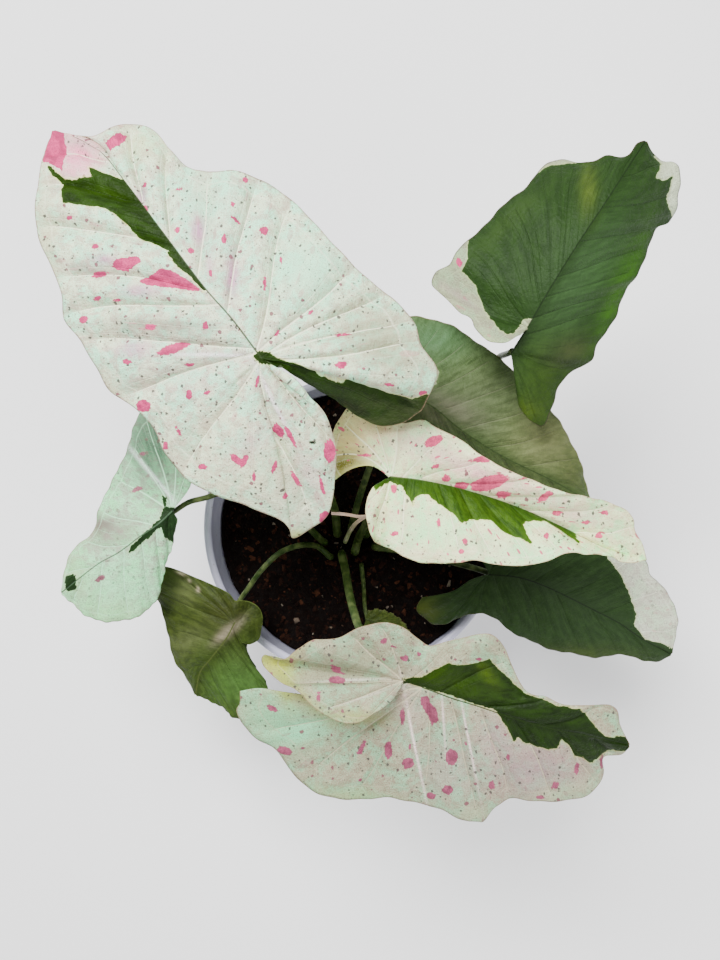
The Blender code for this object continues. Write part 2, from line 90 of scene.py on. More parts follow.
# Pot and soil, as in the solids
POT_HEIGHT = 120.0
RIM_RADIUS = 70.0
BAND_HEIGHT = 11.0
BODY_TOP_RADIUS = 67.6
FOOT_RADIUS = 50.5
FLOOR_THICKNESS = 3.0
INNER_FOOT_RADIUS = 48.6
INNER_RIM_RADIUS = 66.4
INNER_CHAMFER = 2.0
THROAT_STEP = (0.2, 4.0)
BAND_STEP = (0.4, 0.8)
POT_TURN_STEPS = 160
LIP_STEPS = 12
SEAM = 0.02
SHARP_ANGLE = math.radians(50)
SOIL_MEAN_HEIGHT = 109.0
SOIL_HEAP = 6.5
SOIL_HEAP_TOWARDS = math.radians(-40.0)
SOIL_CLEARANCE = 0.45
CHIP_SIZE = 9.0
CHIP_RELIEF = 2.4
FINE_CHIP_SIZE = 4.0
FINE_CHIP_RELIEF = 1.2
FINE_CHIP_LAYER = Vector((0, 0, 12))
SOIL_RINGS = 60
CHIP_SHAPES = 8
CHIP_CORNERS = 11
CHIP_PROPORTIONS = (1.0, 0.62, 0.36)
CHIP_WALL_GAP = 2.0
CHIP_TILT = 0.6
CHIP_TURN = 6.28
CHIP_SCALE = (0.45, 1.15, 2.2)  # least, range and power of the draw

# Stalks, as in the solids
HOLE_BOTTOM = 89.0
HOLE_MOUTH = 112.5
MOUTH_RISE = 7.0
MOUTH_LEAN = 0.1
GAP = 0.3
STALK_SEAT = 1.5
STALK_INSET = 0.1
STALK_RISE = 5.0

# Grids and relief of the blades. A cell is the room between two main veins, and the pairs
# are shares of the way out from the midrib between which something sets in or fades.
CURVE_STEPS = 12
BEND_SPAN = 0.25
VEIN_OVERRUN = 0.06
VEIN_WOBBLE = 0.03
WIDE_CELL = 10.0
WIDEST_CELL = 60.0
RELIEF_BEGINS = (0.02, 0.14)
RELIEF_ENDS = (0.84, 1.0)
VEINS_BEGIN = (0.0, 0.05)
PUFF_REACH = 3.0
PUFF_SUNK = 0.5
VEIN_HALF_WIDTH = 0.9
LOOP_SHARE = 0.3
CRINKLE_SIZE = 4.5
RIPPLES = 7
TAPER_REACH = 3.0
THINNEST_SHARE = 0.35
FAR_OUT = 99.0
CHART = 100.0

# Colours and grain. The blades' grain lies on charts of CHART mm.
SCAR = (0.01, 0.012, 0.006)
UNDERSIDE = (0.25, 0.28, 0.18)
LEAF_GLOSS = 0.09
BROAD_CLOUDS = 11.0
CLOUDS = 24.0
FINE_CLOUDS = 62.0
GRIT = 180.0
STREAK_STRETCH = (2.4, 2.6, 1.0)
LINE_STRETCH = (14.0, 2.2, 1.0)
DASHES = (1.0, 0.76, 0.34)  # scale, rarity and size
FLECKS = (  # scale, rarity, size, strength and colour
    (95.0, 0.74, 0.32, 0.65, "fleck"),
    (44.0, 0.60, 0.31, 0.9, "fleck"),
    (21.0, 0.62, 0.22, 0.9, "mauve"))
FLECK_EDGE = (-0.01, 0.05)
STALK_GLOSS = 0.15
SOIL_GLOSS = 0.1
STALK_FLECK = (0.20, 0.24, 0.08)
YOUNG_FLECK = (0.80, 0.62, 0.55)
POT_DUST = (0.16, 0.12, 0.09)

# The eye that the plant is drawn from, which is also the camera's place
EYE = (2.8, 21.9, 620.0)
VIEW_HEIGHT = 446.4  # the camera's view at the level of the rim
SENSOR = 36.0

# Stage, in metres
FLOOR_REACH = 4.0
KEY_AT = (-0.28, 0.55, 1.28)
KEY_SIZE = 0.6
FILL_SIZE = 1.2
FILL_AT = (0.55, -0.75, 1.0)
LIT_POINT = (0.0, 0.02, 0.17)
SKY_COLOUR = (0.95, 0.97, 1.0)
FLOOR_ROUGHNESS = 0.8
CLIP_START = 0.01

# What the tables hold
Side = namedtuple("Side", "lobe root bend margin")
Blade = namedtuple("Blade", "rows sweep dome midrib left right")
Petiole = namedtuple("Petiole", "foot_radius top_radius route")

# What is passed on while a blade is built
HalfBlade = namedtuple("HalfBlade", "rib station real relief normal fields")
Sheet = namedtuple("Sheet", "points normals vertex_of fields quads")
Marks = namedtuple("Marks", "vein minor loop streak lines broad medium fine grit rough fold")


def length(name, description, default):
    """A size that a user may change, in metres."""
    return FloatProperty(name=name, description=description, default=default, min=0.0,
                         precision=5, unit="LENGTH")


def colour(name, description, default):
    """A colour that a user may change."""
    return FloatVectorProperty(name=name, description=description, default=default, min=0.0,
                               max=1.0, size=3, subtype="COLOR")


class SyngoniumBladeLooks(bpy.types.PropertyGroup):
    blade_thickness: length("Thickness", "Thickness of a blade away from its veins", 0.0004)
    midrib_width: length("Midrib width", "Half width of the midrib's swelling below", 0.0016)
    midrib_depth: length("Midrib depth", "How far the midrib stands out below", 0.0005)
    quilting: length("Quilting", "How far the blade puffs up between its veins", 0.0013)
    vein_depth: length("Vein depth", "How far a vein is sunk into the upper face", 0.00022)
    crinkle: length("Crinkle", "Height of the small uneven swellings", 0.0003)
    margin_ripple: length("Margin ripple", "Height of the small waves at the margin", 0.0004)
    collecting_vein: FloatProperty(
        name="Collecting vein", description="Share of a blade's half width from its margin to "
        "the vein that runs along it", default=0.12, min=0.0, max=0.5)
    fleck: colour("Flecks", "Fine dark flecks on the pale blades", (0.07, 0.06, 0.055))
    mauve: colour("Mauve flecks", "Larger flecks on the pale blades", (0.20, 0.06, 0.085))


class SyngoniumStalkLooks(bpy.types.PropertyGroup):
    sides: IntProperty(name="Sides", description="Faces round a stalk", default=20, min=6)
    step: length("Step", "Distance between two rings of a stalk", 0.0012)
    roll: FloatProperty(name="Roll", description="Step of the young leaf's rolled edge",
                        default=0.3, min=0.0, max=0.6)
    young: colour("Young leaf", "The rolled young leaf", (0.62, 0.40, 0.30))
    sheath: colour("Sheath", "Foot of the young leaf", (0.16, 0.28, 0.07))


class SyngoniumSoilLooks(bpy.types.PropertyGroup):
    chips: FloatProperty(name="Chips", description="Bark chips on a square metre",
                         default=240000.0, min=0.0)
    chip_length: length("Chip length", "Half the length of a middling chip", 0.0017)
    seed: IntProperty(name="Seed", description="Seed of the chips' places", default=7)
    peat: colour("Peat", "The fine dark soil", (0.0024, 0.0009, 0.0006))
    bark: colour("Bark", "Most bark chips", (0.013, 0.0042, 0.0022))
    tan: colour("Tan", "The lighter bark chips", (0.050, 0.017, 0.008))
    pale: colour("Pale bits", "The few palest bits", (0.16, 0.13, 0.10))


class SyngoniumPotLooks(bpy.types.PropertyGroup):
    plastic: colour("Plastic", "The pot's pale plastic", (0.50, 0.49, 0.63))
    lip_round: length("Lip round", "Rounding of the lip and the band", 0.0012)


class SyngoniumStageLooks(bpy.types.PropertyGroup):
    floor: colour("Floor", "The plain floor", (0.95, 0.95, 0.945))
    key: FloatProperty(name="Key light", description="Power of the main light", default=42.0)
    fill: FloatProperty(name="Fill light", description="Power of the weaker light", default=15.0)
    sky: FloatProperty(name="Surround", description="Strength of the even light", default=0.42)


# A blade's grid has rows times its finish's split stations on the midrib. They crowd
# towards the stalk by the power of sweep, and dome is how far the widest row arches up.
# A side leaves the midrib from its root row on. Its first rows fan out from there to the
# share lobe of its margin, which runs from the lobe's inner corner to the tip. bend holds
# points of the very first row where that isn't straight, and fades over BEND_SPAN.
BLADES = {
    "top_left": Blade(
        15, 1.6, 2.5,
        [(-43, 78.5, 250), (-56.5, 96.5, 252), (-70, 112, 251), (-88, 136, 246),
         (-105.5, 159.5, 238), (-116, 173, 231), (-126, 180, 227), (-139, 183, 221)],
        Side(0.50, 0, [], [
            (-27.5, 69, 246.6), (-20.5, 60.5, 244), (-13, 52, 239),
            (-8.5, 38, 234), (-9, 22, 228), (-11.5, 6.5, 222), (-19.5, -0.5, 219),
            (-28.5, -5, 217), (-33, 2.5, 223), (-48.5, 9, 228), (-64.5, 15, 231),
            (-77, 22, 232), (-87.5, 33.5, 231), (-93, 45, 233), (-100.5, 54.5, 234),
            (-113.5, 63.5, 232), (-121, 75.5, 235), (-127.5, 87, 234), (-134.5, 97, 232),
            (-136.5, 110, 235), (-142, 123, 234), (-147, 136.5, 232), (-148, 152, 232),
            (-146, 167, 229), (-143, 177.5, 224)]),
        Side(0.40, 0, [(-33, 74, 246), (-24, 69.5, 238), (-14, 64, 228),
                       (-4, 57.5, 217)], [
            (5.5, 50, 208), (15, 47, 207), (24, 49, 211), (31, 54, 222), (35.5, 63, 235),
            (39, 73, 238), (31.5, 84.5, 242), (27.5, 95.5, 241), (18.5, 106, 239),
            (3, 118.5, 242), (-8.5, 130.5, 243), (-20.5, 144, 240), (-32.5, 154.5, 237),
            (-46, 163, 239), (-56.5, 166, 240), (-69, 165, 236), (-78, 168, 233),
            (-85.5, 176, 234), (-92, 183.5, 231), (-100.5, 187, 229), (-112.5, 186, 230),
            (-122, 182, 229), (-130, 182.5, 225)]),
    ),
    "top_right": Blade(
        12, 1.5, 3.0,
        [(73, 81, 206), (80.5, 92.5, 211), (89.5, 108, 216), (104, 131.5, 219),
         (119, 154, 215), (135.5, 179.5, 203)],
        Side(0.30, 3, [], [
            (77.5, 89, 216), (71, 86, 217), (63, 86.5, 215), (56.5, 92, 213),
            (54.5, 96.5, 210), (49.5, 99.5, 207), (43, 106, 203), (36.5, 112.5, 199),
            (38, 118.5, 200), (44.5, 122.5, 205), (48, 128.5, 206), (54, 134, 205),
            (62.5, 142.5, 204), (70.5, 150.5, 206), (80, 158.5, 207), (87, 166.5, 203),
            (95.5, 171, 201), (109, 169.5, 205), (117.5, 172.5, 206), (127, 173, 207),
            (131.5, 178.5, 205)]),
        Side(0.28, 0, [], [
            (76.5, 60, 197), (79, 52.5, 194), (87, 46.5, 191), (90.5, 52.5, 192),
            (93, 59, 193), (96.5, 67, 194), (103.5, 74, 193), (110.5, 77.5, 194),
            (113, 84, 195), (121, 97, 194), (126, 108.5, 196), (131.5, 117.5, 197),
            (137, 129, 194), (140.5, 138.5, 193), (146.5, 142.5, 189), (150.5, 149, 190),
            (151.5, 164, 193), (148.5, 169.5, 195), (142.5, 171, 199), (138, 176, 202)]),
    ),
    "back": Blade(
        11, 1.4, 2.0,
        [(22.5, 63, 188), (36.5, 56, 189), (50, 45, 186), (69, 33, 180), (93.5, 21, 170),
         (110.5, 11, 160)],
        Side(0.30, 0, [], [
            (13, 82.5, 185), (16, 94.5, 182), (27.5, 98, 181),
            (42.5, 95, 182), (53, 89, 182), (66.5, 79.5, 181), (78, 69, 177),
            (90.5, 55.5, 171), (98.5, 44.5, 167), (104.5, 32, 164), (108, 21, 161)]),
        Side(0.12, 0, [], [
            (18, 57, 187), (17.5, 48, 183), (25, 39.5, 177), (40, 32, 169),
            (56.5, 22.5, 163), (75, 11.5, 158), (93.5, 7, 157)]),
    ),
    "centre": Blade(
        12, 1.5, 2.0,
        [(17, 23.5, 198), (30.5, 22, 196), (45.5, 19, 194), (61.5, 14.5, 192),
         (77, 9, 190), (96, 0.5, 188), (116, -9.5, 186), (136, -15.5, 182)],
        Side(0.32, 0, [(11, 27.5, 198), (5, 28.5, 196), (-2, 26.5, 193)], [
            (-8.5, 22, 190), (-11.5, 28, 189), (-11.5, 38, 190), (-8.5, 47, 192),
            (-2, 56, 193), (6.5, 57.5, 194), (15, 52.5, 197), (23, 48.5, 200),
            (32, 50, 203), (38, 46.5, 205), (50, 40.5, 207), (57.5, 34.5, 206),
            (67, 29, 205), (80, 23, 204), (92.5, 18, 203), (108.5, 14, 202),
            (124, 9.5, 197), (129.5, 4.5, 193), (131, -2, 190), (134.5, -8.5, 186)]),
        Side(0.22, 0, [], [
            (12, 20, 200), (7.5, 16.5, 202), (5.5, 10, 203), (6, 2.5, 202), (8, -4.5, 198),
            (11, -8, 195), (16.5, -10, 198), (23, -13.5, 199), (30.5, -16.5, 199),
            (38.5, -17, 199), (48.5, -16.5, 201), (56.5, -15.5, 203), (66.5, -17.5, 201),
            (78, -18, 200), (89.5, -16, 200), (99.5, -12, 200), (109, -12.5, 197),
            (117, -13.5, 193), (128, -16.5, 187)]),
    ),
    "front": Blade(
        14, 1.6, 2.5,
        [(23, -71.5, 205), (33.5, -75, 206), (45.5, -79.5, 206), (58.5, -83.5, 205),
         (73.5, -88.5, 203), (91, -93.5, 200), (110.5, -97.5, 195), (128, -101, 188)],
        Side(0.54, 0, [], [
            (16.5, -81, 209), (10, -86, 213), (1, -91, 214), (-9.5, -89.5, 212),
            (-19.5, -83, 213), (-26, -76.5, 212), (-34, -72, 209), (-42.5, -64, 203),
            (-41.5, -59.5, 206), (-32.5, -61, 212), (-26, -56.5, 216), (-18.5, -52.5, 218),
            (-7.5, -51.5, 216), (3.5, -46, 219), (13, -44.5, 222), (22.5, -46.5, 220),
            (30, -52, 214), (36, -55, 212), (45.5, -52.5, 217), (58.5, -50, 220),
            (65, -50.5, 219), (70, -56, 214), (73.5, -64.5, 209), (80, -76, 204),
            (88.5, -78.5, 206), (98.5, -82.5, 205), (114.5, -82.5, 202), (122, -84.5, 197),
            (124, -92, 192)]),
        Side(0.43, 3, [(25.5, -72.6, 203.6), (16.5, -75.5, 202), (6.5, -76.5, 200),
                       (-11, -78.5, 197), (-30, -76.5, 193), (-43, -74.5, 190)], [
            (-53, -76, 189), (-53, -81.5, 186), (-54.5, -86.5, 183), (-48, -96.5, 178),
            (-36, -103.5, 175), (-30, -113, 170), (-21, -121.5, 167), (-8.5, -126, 166),
            (3.5, -127, 168), (16, -125.5, 170), (28, -128, 168), (40, -131.5, 166),
            (51, -136, 165), (59.5, -137, 166), (66.5, -130, 172), (74, -126, 176),
            (86.5, -127.5, 177), (98.5, -127.5, 177), (110, -123.5, 176),
            (116, -114.5, 179), (116.5, -107, 184), (124.5, -106, 185)]),
    ),
    "left": Blade(
        11, 1.4, 2.0,
        [(-84.5, 7.5, 172), (-91, 1.5, 173), (-99, -4, 171), (-109, -11.5, 166),
         (-119.5, -17.5, 160), (-136, -30.5, 150)],
        Side(0.55, 0, [], [
            (-77.5, 17, 174), (-74.5, 25, 176), (-72.5, 36.5, 178), (-78, 50, 176),
            (-89.5, 57, 172), (-98.5, 54.5, 168), (-104, 41.5, 163), (-108, 30, 160),
            (-114, 19, 158), (-118, 10, 157), (-120.5, 0, 156), (-123.5, -4, 155),
            (-129.5, -9.5, 153), (-133.5, -16, 152), (-135.5, -23, 151)]),
        Side(0.05, 0, [], [
            (-82, 4, 170), (-83.5, -4.5, 165), (-85.5, -12, 161), (-88, -19.5, 157),
            (-89.5, -28, 152), (-92, -34, 149), (-97, -39.5, 146), (-104.5, -43, 144),
            (-112, -44, 143), (-118.5, -43.5, 143), (-124.5, -41.5, 144), (-129, -37, 145),
            (-133.5, -34, 148)]),
    ),
    "low_left": Blade(
        9, 1.3, 1.5,
        [(-55.5, -44.5, 142), (-59.5, -52, 141), (-66.5, -61, 137), (-71.5, -67.5, 132),
         (-73.5, -78, 126)],
        Side(0.55, 0, [], [
            (-52.5, -53.5, 141), (-48.5, -54.5, 139), (-44.5, -52.5, 138), (-43, -48.5, 138),
            (-42.5, -43, 138), (-43.5, -38.5, 138), (-47.5, -35, 139), (-52, -34, 141),
            (-55.5, -34, 142), (-58.5, -30.5, 141), (-66.5, -26.5, 139), (-73.5, -23.5, 137),
            (-86.5, -18.5, 133), (-96, -19, 129), (-98, -26, 127), (-92, -33, 127),
            (-89, -39, 128), (-87.5, -46.5, 128), (-85.5, -55, 127), (-83, -62.5, 126),
            (-78.5, -70, 125)]),
        Side(0.06, 0, [], [
            (-50.5, -53.5, 135), (-48, -62, 133), (-42.5, -69.5, 131), (-39.5, -78.5, 128),
            (-45, -87, 125), (-54.5, -89, 124), (-62.5, -83, 124), (-68.5, -80.5, 125)]),
    ),
    "low_right": Blade(
        11, 1.4, 2.0,
        [(63, -22, 150), (77, -23.5, 151), (90, -28, 149), (107.5, -36.5, 144),
         (123, -44.5, 138), (134, -52, 132), (147.5, -59, 124)],
        Side(0.15, 0, [], [
            (60, -16, 149), (58.5, -8.5, 147), (67, -2, 144), (85.5, 0.5, 141),
            (107.5, -3.5, 140), (125.5, -8.5, 138), (135.5, -15, 135), (138, -22.5, 134),
            (144.5, -28.5, 131), (148.5, -35.5, 129), (150.5, -44, 127),
            (149.5, -52.5, 125)]),
        Side(0.33, 0, [(54.5, -24.5, 148), (46.5, -29.5, 144), (38.5, -31.5, 140)], [
            (32, -32.5, 137), (29, -38.5, 134), (35.5, -44.5, 133),
            (42, -45, 135), (47.5, -43, 138), (54, -40.5, 141), (59.5, -40, 142),
            (66, -43, 141), (73, -48.5, 138), (82, -53, 135), (90.5, -56.5, 133),
            (102, -59, 132), (112, -60.5, 130), (124.5, -59.5, 130), (130.5, -60.5, 128),
            (136, -62.5, 125), (142.5, -62.5, 123)]),
    ),
    "small": Blade(
        5, 1.2, 1.0,
        [(5.5, -42.5, 131), (11, -44, 134), (18.5, -48, 133), (26, -52.5, 130)],
        Side(0.10, 0, [], [
            (6.5, -39, 130), (11, -38, 130), (17.5, -40, 130), (23, -44, 129),
            (26, -49, 129)]),
        Side(0.10, 0, [], [
            (4.5, -46, 129), (7.5, -50, 128), (13, -53.5, 127), (19.5, -55, 127)]),
    ),
}

# Each route starts in the soil and stops short of its blade.
PETIOLES = {
    "top_left": Petiole(2.1, 1.2, [
        (-7.5, -2.5, 104), (-9.5, 10, 140), (-19, 31, 185), (-30, 54, 222),
        (-39.5, 71, 240)]),
    "top_right": Petiole(1.9, 1.2, [
        (5.5, -3, 104), (17, 12.5, 128), (35.5, 35, 148), (54, 60, 158), (63.5, 74, 166),
        (67.5, 79, 172), (71, 80.5, 186)]),
    "back": Petiole(1.7, 1.3, [
        (-1.5, -0.5, 104), (3.5, 17, 135), (12, 40.5, 162), (18.5, 55.5, 177)]),
    "centre": Petiole(2.2, 1.3, [
        (0.5, -10.5, 104), (2, -5.5, 118), (5, 0.5, 140), (10.5, 10.5, 166),
        (15, 19.5, 187)]),
    "front": Petiole(2.1, 1.5, [
        (-5.5, -12, 104), (-4, -20, 128), (-2, -31.5, 155), (2.5, -47, 180),
        (11, -61, 193)]),
    "left": Petiole(1.8, 1.1, [
        (-13.5, -6.5, 104), (-25, 3, 138), (-42.5, 13.5, 158), (-58, 16.5, 164),
        (-69.5, 13.5, 166), (-77, 11.5, 166)]),
    "low_left": Petiole(1.5, 1.1, [
        (-10.5, -13, 104), (-17, -9, 120), (-25, -8.5, 131), (-34.5, -12, 136),
        (-43, -20, 137), (-49.5, -29, 134), (-54, -36, 133.5)]),
    "low_right": Petiole(1.7, 1.3, [
        (9.5, -8.5, 104), (21.5, -11, 120), (40, -15, 133), (54, -18.5, 140)]),
    "small": Petiole(1.2, 0.9, [
        (3.5, -17, 104), (4.5, -27, 116), (5, -36.5, 123)]),
}
FURLED_ROUTE = [(-4, -6, 104), (-2, -2, 130), (1, 2, 155), (4.5, 4.5, 175), (5, 5, 183),
                (2, 5, 189), (-4, 6, 193), (-10.5, 6.5, 194)]
FURLED_RADII = (1.3, 0.7)

# A finish holds one blade's colours and markings. ground is the colour outside the sectors.
# A sector is (side, outline) of the other colour, and a patch is a pink outline. A spot is
# (x, y, half length, half width, turn in degrees), and a wash is a tone, such a spot and its
# strength: washes lie on the ground colour and inlays on the sectors. veins holds each main
# vein of the left and the right side as two shares of the margin, the one where it leaves the
# midrib and the one that it ends at.
# One field sets the strength of the painted shade laid just past each main vein, where the blade
# dips towards it. Some washes and inlays are painted shade, painted highlight or painted sheen, as
# noted beside them.
Finish = namedtuple(
    "Finish", "ground pale mint beige green dark halo speckle streaks rib edge pink vein quilt "
    "fold sectors patches spots scars washes inlays veins split columns",
    defaults=("pale", (0.72, 0.84, 0.54), (0.43, 0.94, 0.58), (0.52, 0.44, 0.32),
              (0.015, 0.039, 0.002), (0.007, 0.018, 0.001), (0.66, 0.72, 0.24), 1.0, 0.3,
              (0.02, 0.035, 0.01), (0.35, 0.22, 0.16), (0.53, 0.055, 0.16), 0.25, 1.0, 0.4,
              (), (), (), (), (), (), ((), ()), 12, 48))

LILAC = (0.54, 0.22, 0.40)
ROSE = (0.92, 0.28, 0.44)


def even_veins(count, sweep):
    """Evenly spaced veins that lean towards the tip."""
    return [(k / count, k / count + sweep) for k in range(1, count)]


